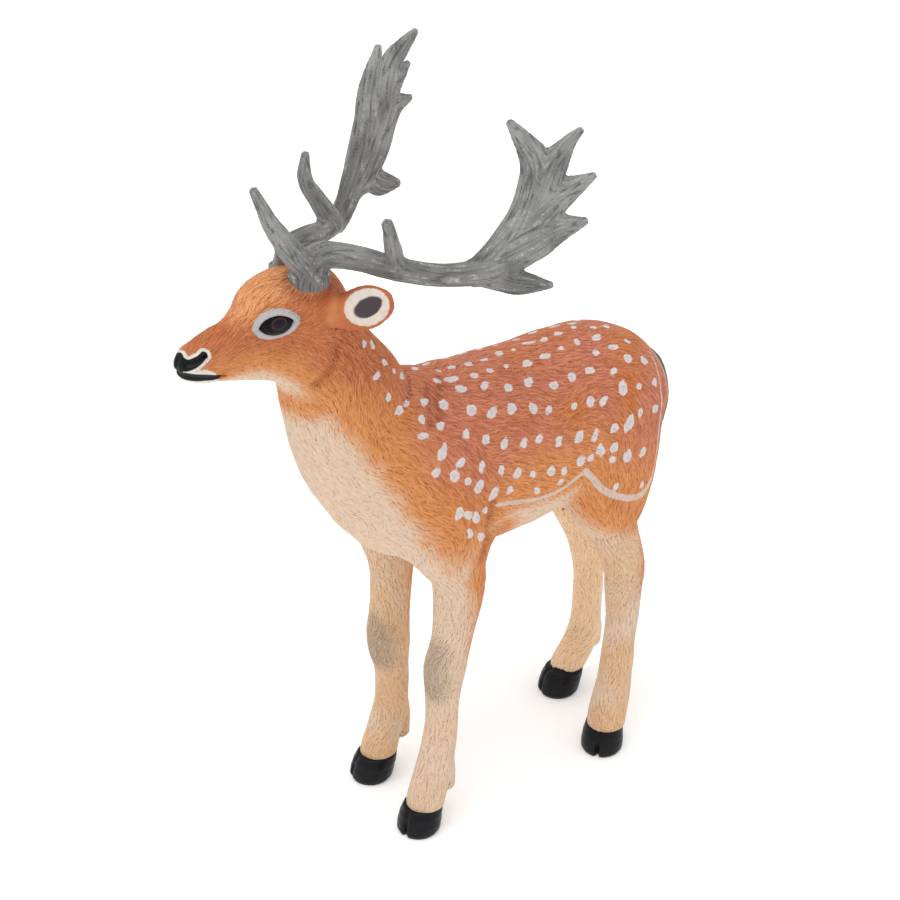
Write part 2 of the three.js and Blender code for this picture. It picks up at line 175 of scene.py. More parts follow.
@dataclass(frozen=True)
class Limb:
    """A round-ended, tapered tube along a smooth spine.

    A station is x, y, z, radius and, where the tube isn't round, its flatness: the half-width
    along ``side`` over the radius.
    """

    stations: Rows
    side: Row = (1.0, 0.0, 0.0)
    cuts: int = 4  # stretches between two stations
    margin: float = 6.0  # how far from it distances still count
    lie: float = 1.0  # 1 where its hair points to its end, -1 where it points to its start

    def rings(self) -> Array:
        """Close stations along the spine."""
        rows = [row if len(row) == 5 else (*row, 1.0) for row in self.stations]
        return spline(rows, self.cuts)

    def _near(self, points: Array, rings: Array) -> Array:
        """Indices of the points within the limb's box and its margin."""
        reach = (rings[:, 3] * np.maximum(rings[:, 4], 1)).max() + self.margin
        low, high = rings[:, :3].min(0) - reach, rings[:, :3].max(0) + reach
        return np.flatnonzero(((points > low) & (points < high)).all(1))

    def _span(self, points: Array, start: Row, end: Row) -> tuple[Array, Array, Array, Array]:
        """Distance from one stretch of the limb.

        Args:
            points: the points to measure.
            start: the ring at its start.
            end: the ring at its end.

        Returns:
            Distance, share of the way along, the offset from the spine, and its frame of side,
            up and tangent rows.
        """
        axis = end[:3] - start[:3]
        length = np.linalg.norm(axis) + TINY
        tangent = axis / length
        side = unit(np.asarray(self.side) - tangent * (tangent @ self.side))
        offset = points - start[:3]
        share = np.clip(offset @ tangent / length, 0, 1)
        offset = offset - share[:, None] * axis
        radius = start[3] + share * (end[3] - start[3])
        flat = start[4] + share * (end[4] - start[4])
        sideways = offset @ side
        squashed = offset + (sideways * (1 / flat - 1))[:, None] * side
        size = np.sqrt((squashed * squashed).sum(1)) + TINY
        lean = (squashed @ side / size) ** 2
        slope = np.sqrt(np.maximum(1 + lean * (1 / flat**2 - 1), TINY))
        return (size - radius) / slope, share, offset, np.array([side, np.cross(tangent, side), tangent])

    def distance(self, points: Array) -> Array:
        """Signed distance of each point from the surface, negative inside."""
        rings = self.rings()
        result = np.full(len(points), FAR)
        near = self._near(points, rings)
        if near.size:
            spans = (self._span(points[near], a, b)[0] for a, b in zip(rings, rings[1:]))
            result[near] = np.minimum.reduce(list(spans))
        return result

    def nearest(self, points: Array) -> Nearest:
        """Distance, place along the limb, place in its section and lie of the hair."""
        rings = self.rings()
        count = len(points)
        found = Nearest(np.full(count, FAR), np.zeros(count), np.zeros((count, 2)), np.zeros((count, 3)))
        near = self._near(points, rings)
        travelled = 0.0
        for start, end in zip(rings, rings[1:]):
            distance, share, offset, axes = self._span(points[near], start, end)
            length = np.linalg.norm(end[:3] - start[:3])
            closer = distance < found.distance[near]
            hit = near[closer]
            found.distance[hit] = distance[closer]
            found.along[hit] = travelled + share[closer] * length
            found.across[hit] = offset[closer] @ axes[:2].T
            found.tangent[hit] = axes[2] * self.lie
            travelled += length
        return found

    def mirror(self) -> "Limb":
        """The limb on the other side of the midline."""
        side = (-self.side[0], *self.side[1:])
        return Limb(mirrored(self.stations), side, self.cuts, self.margin, self.lie)

    def seed(self, bm: bmesh.types.BMesh) -> None:
        """Adds overlapping balls along the spine, for a remesh to make one skin of."""
        rings = self.rings()
        tangents = unit(np.gradient(rings[:, :3], axis=0))
        for (x, y, z, radius, flat), tangent in zip(rings, tangents):
            side = unit(np.asarray(self.side) - tangent * (tangent @ self.side))
            axes = np.array([side * flat, np.cross(tangent, side), tangent * min(flat, 1)]) * radius
            place = Matrix.Translation((x, y, z)) @ Matrix(axes.T.tolist()).to_4x4()
            bmesh.ops.create_icosphere(bm, subdivisions=2, radius=1, matrix=place)


def closest(limbs: Sequence[Limb], points: Array) -> Array:
    """Distance of each point from the closest of some limbs."""
    return np.minimum.reduce([limb.distance(points) for limb in limbs])


@dataclass(frozen=True)
class Mass:
    """Limbs and lesser masses, each blended softly into those before it."""

    parts: Sequence[tuple["Limb | Mass", float]]

    def distance(self, points: Array) -> Array:
        """Signed distance of each point from the surface, negative inside."""
        total = np.full(len(points), FAR)
        for part, blend in self.parts:
            total = blended(total, part.distance(points), blend)
        return total

    def limbs(self) -> list[Limb]:
        """Every limb in it."""
        found: list[Limb] = []
        for part, _ in self.parts:
            found += part.limbs() if isinstance(part, Mass) else [part]
        return found

    def normals(self, points: Array, step: float = 0.05) -> Array:
        """Directions in which the distance grows."""
        corners = np.array([(1, -1, -1), (-1, -1, 1), (-1, 1, -1), (1, 1, 1)], float)
        slopes = sum(np.outer(self.distance(points + c * step), c) for c in corners)
        return unit(slopes)

    def laid(self, points: Array, passes: int = 4) -> Array:
        """The points moved onto the surface."""
        points = np.array(points, float)
        for _ in range(passes):
            points -= self.distance(points)[:, None] * self.normals(points)
        return points


class Clay:
    """A mesh that is being modelled, in millimetres about the midline."""

    def __init__(self, limbs: Sequence[Limb], voxel: float) -> None:
        """Makes one closed skin round the limbs.

        Args:
            limbs: the limbs to join.
            voxel: size of its faces in millimetres.
        """
        rough = bpy.data.meshes.new("rough")
        with edited(rough) as bm:
            for limb in limbs:
                limb.seed(bm)
        holder = added("rough", rough)
        remesh = holder.modifiers.new("Skin", "REMESH")
        remesh.mode = "VOXEL"
        remesh.voxel_size = voxel
        shaped = holder.evaluated_get(bpy.context.evaluated_depsgraph_get())
        self.mesh = bpy.data.meshes.new_from_object(shaped)
        bpy.data.objects.remove(holder)
        bpy.data.meshes.remove(rough)

    @property
    def points(self) -> Array:
        """Where its vertices are."""
        return vertex_rows(self.mesh)

    @property
    def normals(self) -> Array:
        """Which way its vertices face."""
        return vertex_rows(self.mesh, "normal")

    def move(self, points: Array) -> None:
        """Puts its vertices at these points."""
        self.mesh.vertices.foreach_set("co", points.astype(np.float32).ravel())
        self.mesh.update()

    def relax(self, passes: int) -> None:
        """Evens out its faces."""
        axes = {f"use_axis_{axis}": True for axis in "xyz"}
        with edited(self.mesh) as bm:
            for _ in range(passes):
                bmesh.ops.smooth_vert(bm, verts=bm.verts, factor=0.5, **axes)

    def refine(self, where: Callable[[Array], Array]) -> None:
        """Halves the faces whose corners all answer ``where``."""
        chosen = where(self.points)
        with edited(self.mesh) as bm:
            faces = [face for face in bm.faces if all(chosen[vert.index] for vert in face.verts)]
            edges = list({edge for face in faces for edge in face.edges})
            bmesh.ops.subdivide_edges(bm, edges=edges, cuts=1, use_grid_fill=True)
            uneven = [face for face in bm.faces if len(face.verts) > 4]
            bmesh.ops.triangulate(bm, faces=uneven)

    def cut(self, at: Row, facing: Row) -> None:
        """Cuts off what a plane faces and closes the mesh there."""
        with edited(self.mesh) as bm:
            parts = [*bm.verts, *bm.edges, *bm.faces]
            bmesh.ops.bisect_plane(bm, geom=parts, plane_co=at, plane_no=facing, clear_outer=True)
            rim = [edge for edge in bm.edges if edge.is_boundary]
            bmesh.ops.edgeloop_fill(bm, edges=rim)
            bmesh.ops.recalc_face_normals(bm, faces=bm.faces)

    def settle(self, mass: Mass, rounds: int, smoothing: int = 2) -> None:
        """Evens out the faces and lays them on the surface of a mass.

        Args:
            mass: what it is laid on.
            rounds: how often to do so.
            smoothing: passes of smoothing in each round.
        """
        for _ in range(rounds):
            self.relax(smoothing)
            for _ in range(2):
                points = self.points
                self.move(points - mass.distance(points)[:, None] * self.normals)

    def carve(self, mass: Mass, height: Callable[[Array], Array]) -> Array:
        """Raises or sinks the settled surface.

        Args:
            mass: what it lies on.
            height: how far each point of the surface goes out.

        Returns:
            Where the vertices were before.
        """
        smooth = self.points
        self.move(smooth + mass.normals(smooth) * height(smooth)[:, None])
        return smooth


@dataclass(frozen=True)
class Place:
    """Where the midline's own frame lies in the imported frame, in millimetres."""

    shift: Array

    @classmethod
    def found(cls) -> "Place":
        """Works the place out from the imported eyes."""
        boxes = [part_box("eye_left"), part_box("eye_right")]
        middles = [(np.array(low) + np.array(high)) / 2 / MM for low, high in boxes]
        return cls(np.mean(middles, 0) - (0.0, *EYE.at[1:]))

    def back(self, points: Array) -> Array:
        """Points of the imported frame, in metres, as points of the midline frame."""
        return np.asarray(points, float) / MM - self.shift

    def finish(self, mesh: bpy.types.Mesh, name: str, material: bpy.types.Material) -> bpy.types.Object:
        """Makes a finished piece of a mesh in millimetres.

        Args:
            mesh: its mesh about the midline.
            name: what the piece is called.
            material: its finish.

        Returns:
            The piece, at the origin and in metres.
        """
        mesh.transform(Matrix.Scale(MM, 4) @ Matrix.Translation(self.shift.tolist()))
        mesh.name = name
        mesh.materials.clear()
        mesh.materials.append(material)
        mesh.shade_smooth()
        piece = added(name, mesh)
        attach(piece, "root")
        log.info("%s: %d faces", name, len(mesh.polygons))
        return piece


def set_fields(mesh: bpy.types.Mesh, fields: dict[str, Array]) -> None:
    """Keeps numbers and vectors on a mesh's vertices for its material to read."""
    for name, values in fields.items():
        kind, slot = ("FLOAT", "value") if values.ndim == 1 else ("FLOAT_VECTOR", "vector")
        attribute = mesh.attributes.new(name, kind, "POINT")
        attribute.data.foreach_set(slot, values.astype(np.float32).ravel())


# ------------------------------------------------------------------ the buck's body


@dataclass(frozen=True)
class EyeSeat:
    """Where the left eye sits, and the plane that its lids and its painted ring are drawn in."""

    at: Row = (3.55, -33.2, 101.5)
    size: Row = (1.9, 2.9, 2.1)  # depth, length, height
    yaw: float = 21.0  # degrees that it faces forward
    roll: float = 8.0  # degrees that its front corner drops
    lids: Row = (2.75, 1.62)  # half-length and half-height of the opening
    ring: Row = (3.7, 2.6)  # half-length and half-height of the painted ring
    reach: Row = (-1.5, 4.0)  # depths between which both are drawn

    def axes(self) -> Array:
        """Rows that point out of the head, towards the nose and up."""
        yaw, roll = math.radians(self.yaw), math.radians(self.roll)
        out = np.array([math.cos(yaw), -math.sin(yaw), 0.0])
        level = np.array([-math.sin(yaw), -math.cos(yaw), 0.0])
        up = np.array([0.0, 0.0, 1.0])
        ahead = level * math.cos(roll) - up * math.sin(roll)
        return np.array([out, ahead, up * math.cos(roll) + level * math.sin(roll)])

    def plane(self, points: Array) -> Array:
        """Points as depth, length and height from the eye of their own side."""
        return (folded(points) - self.at) @ self.axes().T

    def almond(self, points: Array, size: Row) -> Array:
        """Distance from the edge of an almond drawn round the eye, negative inside."""
        depth, length, height = self.plane(points).T
        half, rise = size
        radius = (half**2 + rise**2) / (2 * rise)
        drop = radius - rise
        edge = np.maximum(np.hypot(length, height + drop), np.hypot(length, height - drop)) - radius
        low, high = self.reach
        return np.where((depth > low) & (depth < high), edge, FAR)


EYE = EyeSeat()

TRUNK = Limb((
    (0, -15.4, 71.0, 8.5, 0.95), (0, -6.4, 64.6, 13.9, 0.86), (0, 3.0, 64.9, 16.2, 0.78),
    (0, 14.0, 64.8, 15.6, 0.84), (0, 24.0, 66.6, 13.7, 0.9), (0, 31.6, 67.3, 11.0, 1.0),
    (0, 36.3, 65.5, 7.7, 1.15),
))
NECK = Limb((
    (0, -7.8, 68.4, 14.9, 0.76), (0, -16.0, 74.6, 11.6, 0.78), (0, -19.2, 82.0, 10.5, 0.72),
    (0, -22.1, 89.0, 8.6, 0.77), (0, -24.1, 95.5, 7.0, 0.88), (0, -25.6, 100.4, 5.6, 0.98),
), lie=-1.0)
SKULL = Limb((
    (0, -26.0, 101.2, 5.7, 1.0), (0, -30.9, 102.1, 5.2, 1.08), (0, -34.9, 100.1, 3.9, 1.0),
    (0, -40.3, 98.2, 3.1, 0.92), (0, -45.3, 97.0, 2.8, 0.95),
), lie=-1.0)
JAW = Limb((
    (0, -26.0, 94.4, 5.2, 0.86), (0, -31.0, 94.0, 4.1, 0.84), (0, -37.0, 94.5, 2.9, 0.85),
    (0, -42.8, 95.1, 2.0, 0.95),
), lie=-1.0)
# stumps that carry the antlers
PEDICLES = (
    Limb(((2.9, -27.2, 102.0, 3.2), (3.3, -27.0, 105.2, 2.95))),
    Limb(((-2.9, -26.9, 101.0, 2.8), (-3.0, -26.6, 103.8, 2.6))),
)
TAIL = Limb((
    (0, 37.5, 71.2, 3.4, 1.0), (0, 41.9, 68.2, 2.9, 1.1), (0, 44.0, 62.7, 2.4, 1.2),
    (0, 44.2, 57.5, 1.7, 1.2),
))
LEGS = {
    "front_left": Limb((
        (6.6, -6.0, 67.0, 10.0, 0.5), (7.6, -5.0, 58.0, 8.6, 0.6), (8.2, -3.9, 50.5, 5.3, 0.8),
        (8.4, -3.5, 45.5, 4.6, 0.88), (8.4, -4.8, 36.8, 3.5, 0.98), (8.4, -6.4, 30.6, 3.6),
        (8.4, -6.8, 25.5, 3.0), (8.5, -7.1, 20.0, 2.8), (8.5, -8.1, 13.5, 3.1),
        (8.5, -10.1, 6.6, 3.3), (8.6, -10.6, 4.4, 3.3),
    )),
    "front_right": Limb((
        (-6.6, -7.0, 67.0, 10.0, 0.5), (-7.6, -6.4, 58.0, 8.6, 0.6), (-8.2, -5.8, 50.0, 5.9, 0.76),
        (-8.4, -5.2, 43.0, 4.2, 0.9), (-8.4, -5.5, 34.5, 3.5, 0.98), (-8.3, -6.1, 27.0, 3.75),
        (-8.2, -5.7, 22.2, 3.15), (-8.1, -5.7, 18.0, 3.0), (-7.9, -6.2, 13.0, 3.0),
        (-7.8, -8.7, 5.6, 3.25), (-7.7, -9.0, 4.2, 3.2),
    )),
    "hind_left": Limb((
        (6.0, 28.8, 67.0, 10.4, 0.6), (7.6, 27.9, 60.0, 9.9, 0.62), (8.6, 27.2, 53.0, 8.0, 0.68),
        (9.0, 27.9, 47.2, 4.8, 0.82), (9.2, 30.9, 37.2, 3.75, 0.95), (9.2, 31.0, 32.5, 3.35),
        (9.2, 31.0, 27.0, 3.0), (9.2, 30.6, 21.5, 2.85), (9.3, 29.8, 14.0, 3.1),
        (9.3, 28.7, 7.6, 3.4), (9.4, 28.2, 5.0, 3.4),
    )),
    "hind_right": Limb((
        (-6.0, 30.0, 67.0, 10.4, 0.6), (-7.6, 29.2, 60.0, 9.8, 0.62), (-8.3, 29.6, 52.0, 8.0, 0.66),
        (-8.6, 32.2, 44.0, 5.0, 0.78), (-8.8, 35.0, 37.0, 3.9, 0.9), (-8.8, 37.0, 30.5, 3.1),
        (-8.7, 38.0, 24.5, 2.85), (-8.6, 38.0, 19.0, 2.8), (-8.4, 37.5, 13.0, 2.85),
        (-8.3, 36.2, 9.0, 3.0), (-8.2, 33.3, 5.0, 3.1),
    )),
}
# middles of the soles
SOLES = {
    "front_left": (8.6, -11.5), "front_right": (-7.7, -9.9),
    "hind_left": (9.4, 27.6), "hind_right": (-8.1, 32.0),
}
TOE_OUT = {"front_left": 13, "front_right": 16, "hind_left": 36, "hind_right": 14}  # degrees
# dew claws
SPURS = (
    Limb(((8.5, -6.5, 13.5, 1.7), (8.6, -6.5, 9.5, 1.9), (8.6, -6.3, 7.2, 1.7))),
    Limb(((-7.9, -4.2, 13.0, 1.6), (-7.8, -4.2, 9.8, 1.8), (-7.8, -4.2, 7.2, 1.7))),
    Limb(((9.3, 31.6, 14.0, 1.6), (9.3, 31.2, 11.0, 1.8), (9.3, 30.9, 8.8, 1.6))),
    Limb(((-8.4, 39.0, 14.0, 1.6), (-8.4, 39.2, 11.0, 1.8), (-8.3, 39.0, 8.2, 1.7))),
)
EAR_FACING = (0.45, -0.75, 0.42)
EAR = Limb((
    (5.0, -24.2, 100.8, 2.2, 0.8), (7.7, -22.9, 101.9, 3.0, 0.5), (10.4, -21.6, 103.2, 3.4, 0.43),
    (12.2, -20.5, 104.1, 2.55, 0.45),
), side=EAR_FACING)
RIGHT_EAR_DROOP = 0.3  # fall towards the tip, per millimetre outwards

CORONET = (4.65, 0.0)  # hoof top above the floor, and how much it drops backwards
FOOT_REACH = 7.0  # distance from the middle of a sole within which a point belongs to that foot


def above_coronet(points: Array) -> Array:
    """Height of each point above the coronet of its foot."""
    top, lean = CORONET
    height = np.full(len(points), FAR)
    for x, y in SOLES.values():
        near = np.hypot(points[:, 0] - x, points[:, 1] - y) < FOOT_REACH
        height = np.where(near, points[:, 2] - top + lean * (points[:, 1] - y), height)
    return height


def drooped(limb: Limb, slope: float) -> Limb:
    """The limb with every station lowered by its way outwards from the first."""
    root = abs(limb.stations[0][0])
    rows = [(x, y, z - slope * (abs(x) - root), *rest) for x, y, z, *rest in limb.stations]
    return Limb(rows, limb.side, limb.cuts, limb.margin, limb.lie)


EARS = (EAR, drooped(EAR.mirror(), RIGHT_EAR_DROOP))
HEAD = Mass(((SKULL, 0.1), (JAW, 2.5), *((pedicle, 1.2) for pedicle in PEDICLES)))
BODY = Mass((
    (TRUNK, 0.1), (NECK, 4.0), *((leg, 2.5) for leg in LEGS.values()), (TAIL, 1.0),
    *((spur, 0.5) for spur in SPURS), (HEAD, 3.0), *((ear, 0.6) for ear in EARS),
))


@dataclass(frozen=True)
class Crease:
    """A groove or a ridge modelled along a path on the body, on both sides of it."""

    path: Rows
    width: float
    rise: float

    def sides(self, mass: Mass) -> list[Limb]:
        """Its path laid on both sides of a mass."""
        laid = []
        for rows in (self.path, mirrored(self.path)):
            stations = [(*point, 0.01, 1.0) for point in mass.laid(spline(rows, 3)).tolist()]
            laid.append(Limb(stations, cuts=1, margin=3 * self.width))
        return laid


CREASES = (
    # brow, hollow under the eye and tear line
    Crease(((2.4, -37.0, 101.6), (4.4, -34.4, 104.0), (5.9, -30.8, 104.2)), 1.1, 0.22),
    Crease(((3.9, -36.6, 99.0), (5.4, -32.8, 98.4), (5.9, -29.6, 99.4)), 0.9, -0.12),
    Crease(((3.2, -37.3, 100.2), (2.9, -39.6, 98.9)), 0.45, -0.12),
    # back of the jaw, cheek and bridge of the nose
    Crease(((6.4, -24.4, 95.4), (6.0, -25.4, 92.0), (4.8, -27.8, 89.4)), 0.8, -0.2),
    Crease(((5.0, -30.5, 95.5), (4.2, -33.5, 94.8)), 1.6, 0.3),
    Crease(((0.0, -41.8, 101.0), (0.0, -44.0, 100.3)), 1.5, 0.3),
    # nostril, its rim, mouth and cleft of the nose pad
    Crease(((1.7, -47.0, 98.0), (2.4, -45.6, 98.3), (2.3, -44.5, 98.9)), 0.4, -0.5),
    Crease(((2.2, -46.2, 99.2), (2.6, -44.6, 99.6), (2.5, -43.4, 98.6)), 0.5, 0.22),
    Crease(((0.0, -47.9, 96.4), (1.8, -46.9, 96.0), (2.6, -44.6, 95.2), (2.4, -41.4, 94.4)), 0.3, -0.3),
    Crease(((0.1, -48.0, 98.8), (0.1, -48.0, 96.8)), 0.25, -0.2),
    # two folds at the root of the neck
    Crease(((2.5, -2.9, 81.6), (5.0, -5.1, 81.0), (6.9, -6.5, 79.8), (8.3, -7.2, 78.2)), 0.9, -0.3),
    Crease(((4.0, -7.0, 81.5), (6.6, -8.2, 79.9), (8.4, -9.2, 77.6)), 0.8, -0.2),
    # behind the elbow and in front of the thigh
    Crease(((12.8, 0.2, 62.6), (12.6, -0.4, 58.8), (12.3, -0.6, 55.2), (12.2, -1.4, 52.4)), 1.1, -0.35),
    Crease(((12.4, 19.4, 62.0), (12.1, 19.6, 59.0), (11.2, 19.0, 56.0)), 1.2, -0.14),
    # three at the hock, and the knee
    Crease(((12.3, 34.6, 38.2), (12.7, 32.4, 36.4)), 0.4, -0.14),
    Crease(((12.1, 33.8, 35.6), (12.8, 31.6, 34.0)), 0.4, -0.14),
    Crease(((11.8, 33.4, 33.2), (12.4, 31.8, 31.8)), 0.4, -0.12),
    Crease(((11.8, -9.6, 33.6), (11.6, -9.0, 28.6)), 1.0, 0.18),
)


@dataclass
class Surface:
    """The moulded surface of the body: its masses with creases, lids and ear bowls."""

    coat: float = 0.16  # how far the skin lies under the coat
    thinner: float = 0.07  # how much less on the face and the feet
    lid_rise: float = 0.26
    lid_width: float = 0.32
    lid_line: float = 0.28  # from the eye's opening to the crest of the lid
    socket: float = -1.3  # floor of the eye's opening
    bowl: float = -0.95  # floor of the ear's bowl
    waves: float = 0.14
    wave_length: float = 5.0
    foot_tuck: float = 0.7
    dark_crease: float = -0.15  # deeper creases hold the wash
    burr_gap: float = 0.4  # from an antler's foot to the middle of the painted shade round it
    burr_shade: float = 0.45  # width of that painted shade
    creases: list[tuple[Limb, Crease]] = field(init=False)

    def __post_init__(self) -> None:
        """Lays the creases on the body."""
        self.creases = [(limb, crease) for crease in CREASES for limb in crease.sides(BODY)]

    def depth(self, points: Array) -> Array:
        """How far the skin lies under the coat: least on the face and the feet."""
        face = smoothstep(-22, -28, points[:, 1]) * smoothstep(86, 90, points[:, 2])
        feet = smoothstep(50, 30, points[:, 2])
        smooth = smoothstep(1.2, 0.2, EYE.almond(points, EYE.ring))
        smooth += smoothstep(1.0, 0.0, nose_distance(points))
        smooth += smoothstep(0.6, -0.2, ear_white(points))
        return (self.coat - self.thinner * np.maximum(face, feet)) * (1 - np.clip(smooth, 0, 1))

    def height(self, points: Array) -> Array:
        """Height of the skin above the smooth masses, in millimetres."""
        rise = -self.depth(points)
        for limb, crease in self.creases:
            rise += crease.rise * np.exp(-((limb.distance(points) / crease.width) ** 2))
        open_lids = EYE.almond(points, EYE.lids)
        rise += self.lid_rise * np.exp(-(((open_lids - self.lid_line) / self.lid_width) ** 2))
        rise += (self.socket - rise) * smoothstep(0.0, -0.22, open_lids)
        rise += self.bowl * smoothstep(0.1, -1.6, ear_white(points))
        rise += self.waves * perlin(points, self.wave_length) * smoothstep(0, 1.5, nose_distance(points))
        return rise + self.feet(points)

    def folds(self, points: Array) -> Array:
        """1 where the dark wash gathers in the sunken creases, and where painted shade lies round the
        antlers' feet.
        """
        sunk = [(limb, crease.width) for limb, crease in self.creases if crease.rise < self.dark_crease]
        dark = [np.exp(-((limb.distance(points) / width / 0.8) ** 2)) for limb, width in sunk]
        # painted shade in a ring round each antler's foot, where it meets the skin
        for antler in ANTLERS:
            *foot, radius = antler.beam[0]
            rim = np.linalg.norm(points - foot, axis=1) - radius
            dark.append(np.exp(-(((rim - self.burr_gap) / self.burr_shade) ** 2)))
        return np.max(dark, 0)

    def feet(self, points: Array) -> Array:
        """Draws the skin in below the coronets, where the hooves take over."""
        return -self.foot_tuck * smoothstep(-0.1, 0.5, -above_coronet(points))


# ------------------------------------------------------------------ markings


@dataclass(frozen=True)
class SpotRow:
    """A row of painted dabs along the body, by their angle down from the spine."""

    start: float  # where it starts and ends along the back
    end: float
    angles: Row  # degrees at its start, middle and end
    count: int
    size: float  # half-width of a dab


SPOT_ROWS = (
    # along the body, from the spine down
    SpotRow(-1.1, 28.1, (11, 14, 12), 9, 0.68),
    SpotRow(26.0, 34.0, (24, 22, 20), 3, 0.7),
    SpotRow(-4.4, 34.8, (14, 33, 38), 11, 0.76),
    SpotRow(-8.4, 35.0, (20, 48, 56), 13, 0.84),
    SpotRow(-10.4, 34.3, (29, 70, 76), 14, 0.84),
    SpotRow(-11.7, 24.5, (38, 87, 92), 12, 0.82),
    # shoulder, belly's edge, thigh and elbow
    SpotRow(-9.6, -0.2, (60, 76, 95), 5, 0.84),
    SpotRow(3.5, 14.0, (97, 104, 104), 3, 0.68),
    SpotRow(20.3, 30.8, (95, 101, 106), 4, 0.78),
    SpotRow(-6.0, -2.0, (98, 105, 106), 4, 0.74),
    SpotRow(-4.3, -1.4, (117, 119, 122), 2, 0.7),
    SpotRow(24.5, 30.4, (118, 121, 124), 2, 0.75),
    # side of the neck
    SpotRow(-18.4, -16.1, (10, 9.6, 9.2), 2, 0.66),
    SpotRow(-17.0, -10.6, (14, 12, 13), 4, 0.62),
    SpotRow(-15.5, -12.1, (19, 22, 22), 3, 0.72),
)
SPINE_ROW = SpotRow(-6.0, 33.0, (2, 0, -2), 13, 0.64)

FLANK_LINE = (
    (12.4, 1.4, 61.6), (12.3, 5.0, 60.6), (12.1, 9.0, 59.8), (12.0, 13.1, 59.7), (12.0, 16.2, 60.3),
    (12.2, 19.1, 61.6),
)
THIGH_LINE = (
    (12.2, 19.1, 61.6), (12.4, 20.6, 59.6), (12.9, 21.9, 57.6), (13.5, 23.6, 56.0), (14.0, 25.8, 54.8),
    (13.9, 28.4, 53.8), (13.2, 30.9, 53.6), (12.2, 32.9, 55.0),
)
RUMP_LINE = (
    (12.2, 32.9, 55.0), (11.6, 34.2, 58.0), (11.0, 35.2, 62.0), (10.2, 36.0, 66.0), (9.2, 36.2, 69.5),
    (7.4, 36.6, 72.0), (5.0, 36.8, 73.6),
)

# black paint: nose pad, nostrils and lips
NOSE = (
    Limb(((0, -47.9, 98.3, 1.25), (0, -48.0, 97.0, 1.3), (0, -47.9, 96.2, 1.0))),
    Limb((
        (0.6, -47.8, 98.0, 1.1), (1.7, -47.0, 97.9, 0.85), (2.3, -45.6, 98.4, 0.7), (2.2, -44.6, 98.9, 0.6),
    )),
    Limb((
        (0.2, -48.0, 96.1, 0.78), (1.8, -47.0, 95.95, 0.85), (2.6, -44.8, 95.3, 0.74),
        (2.5, -42.3, 94.6, 0.5),
    )),
)
# white paint between nostril and lip
LIP_WEDGE = Limb((
    (0.8, -47.6, 96.6, 0.6), (1.8, -46.6, 96.5, 0.7), (2.7, -44.6, 96.35, 0.42), (2.7, -43.2, 95.5, 0.3),
))


def nose_distance(points: Array, parts: slice = slice(None)) -> Array:
    """Distance from the black paint of nose, nostrils and lips, or of some of them."""
    return closest(NOSE[parts], folded(points))


@dataclass(frozen=True)
class EarFace:
    """The open side of the left ear, with its painted ovals."""

    at: Row = (10.7, -21.5, 103.3)
    reach: Row = (0.8, 0.46, 0.38)  # from root to tip
    white: Row = (3.75, 2.8)  # half-length and half-height of its white
    dark: Row = (2.6, 1.6)  # the same of the dark oval in it
    dark_turn: float = 14.0  # degrees that the dark oval's outer end rises
    front: float = -0.25  # height in front of the ear above which the paint is whole

    def plane(self, points: Array) -> Array:
        """Points as height in front of the ear, length and height from the ear of their own side."""
        left = folded(points)
        left[:, 2] += np.where(points[:, 0] < 0, RIGHT_EAR_DROOP * (left[:, 0] - EAR.stations[0][0]), 0)
        facing = unit(EAR_FACING)
        reach = unit(np.array(self.reach) - facing * (facing @ self.reach))
        return (left - self.at) @ np.array([facing, reach, np.cross(reach, -facing)]).T

    def oval(self, points: Array, size: Row, turn: float = 0.0) -> Array:
        """Distance from the edge of an oval on the ear's open side, negative inside."""
        depth, length, height = self.plane(points).T
        cos, sin = math.cos(math.radians(turn)), math.sin(math.radians(turn))
        across = (length * cos + height * sin) / size[0]
        upward = (height * cos - length * sin) / size[1]
        edge = (np.hypot(across, upward) - 1) * min(size)
        return np.where(depth > self.front, edge, np.maximum(edge, 4 * (self.front - depth)))


EAR_FACE = EarFace()


def ear_white(points: Array) -> Array:
    """Distance from the white inside of the ears."""
    return EAR_FACE.oval(points, EAR_FACE.white)


def area(*stations: Row) -> Limb:
    """A soft-edged area of paint, whose edge fades over a long way."""
    return Limb(stations, margin=24.0)


# cream ground: everything that lies outside these is ochre or rust
CREAM = (
    area((0, -46.5, 92.6, 2.6), (0, -41.0, 91.0, 3.4), (0, -36.0, 90.6, 4.1), (0, -32.5, 88.4, 4.6),
         (0, -31.0, 81.5, 7.6), (0, -30.0, 77.0, 10.0), (0, -28.5, 71.5, 12.2), (0, -26.0, 65.0, 14.2),
         (0, -18.0, 55.0, 13.8), (0, -6.0, 46.0, 14.0), (0, 8.0, 43.0, 19.8), (0, 20.0, 43.5, 18.0)),
    area((0, -30.0, 17.0, 30.5), (0, 50.0, 17.0, 30.5)),
)
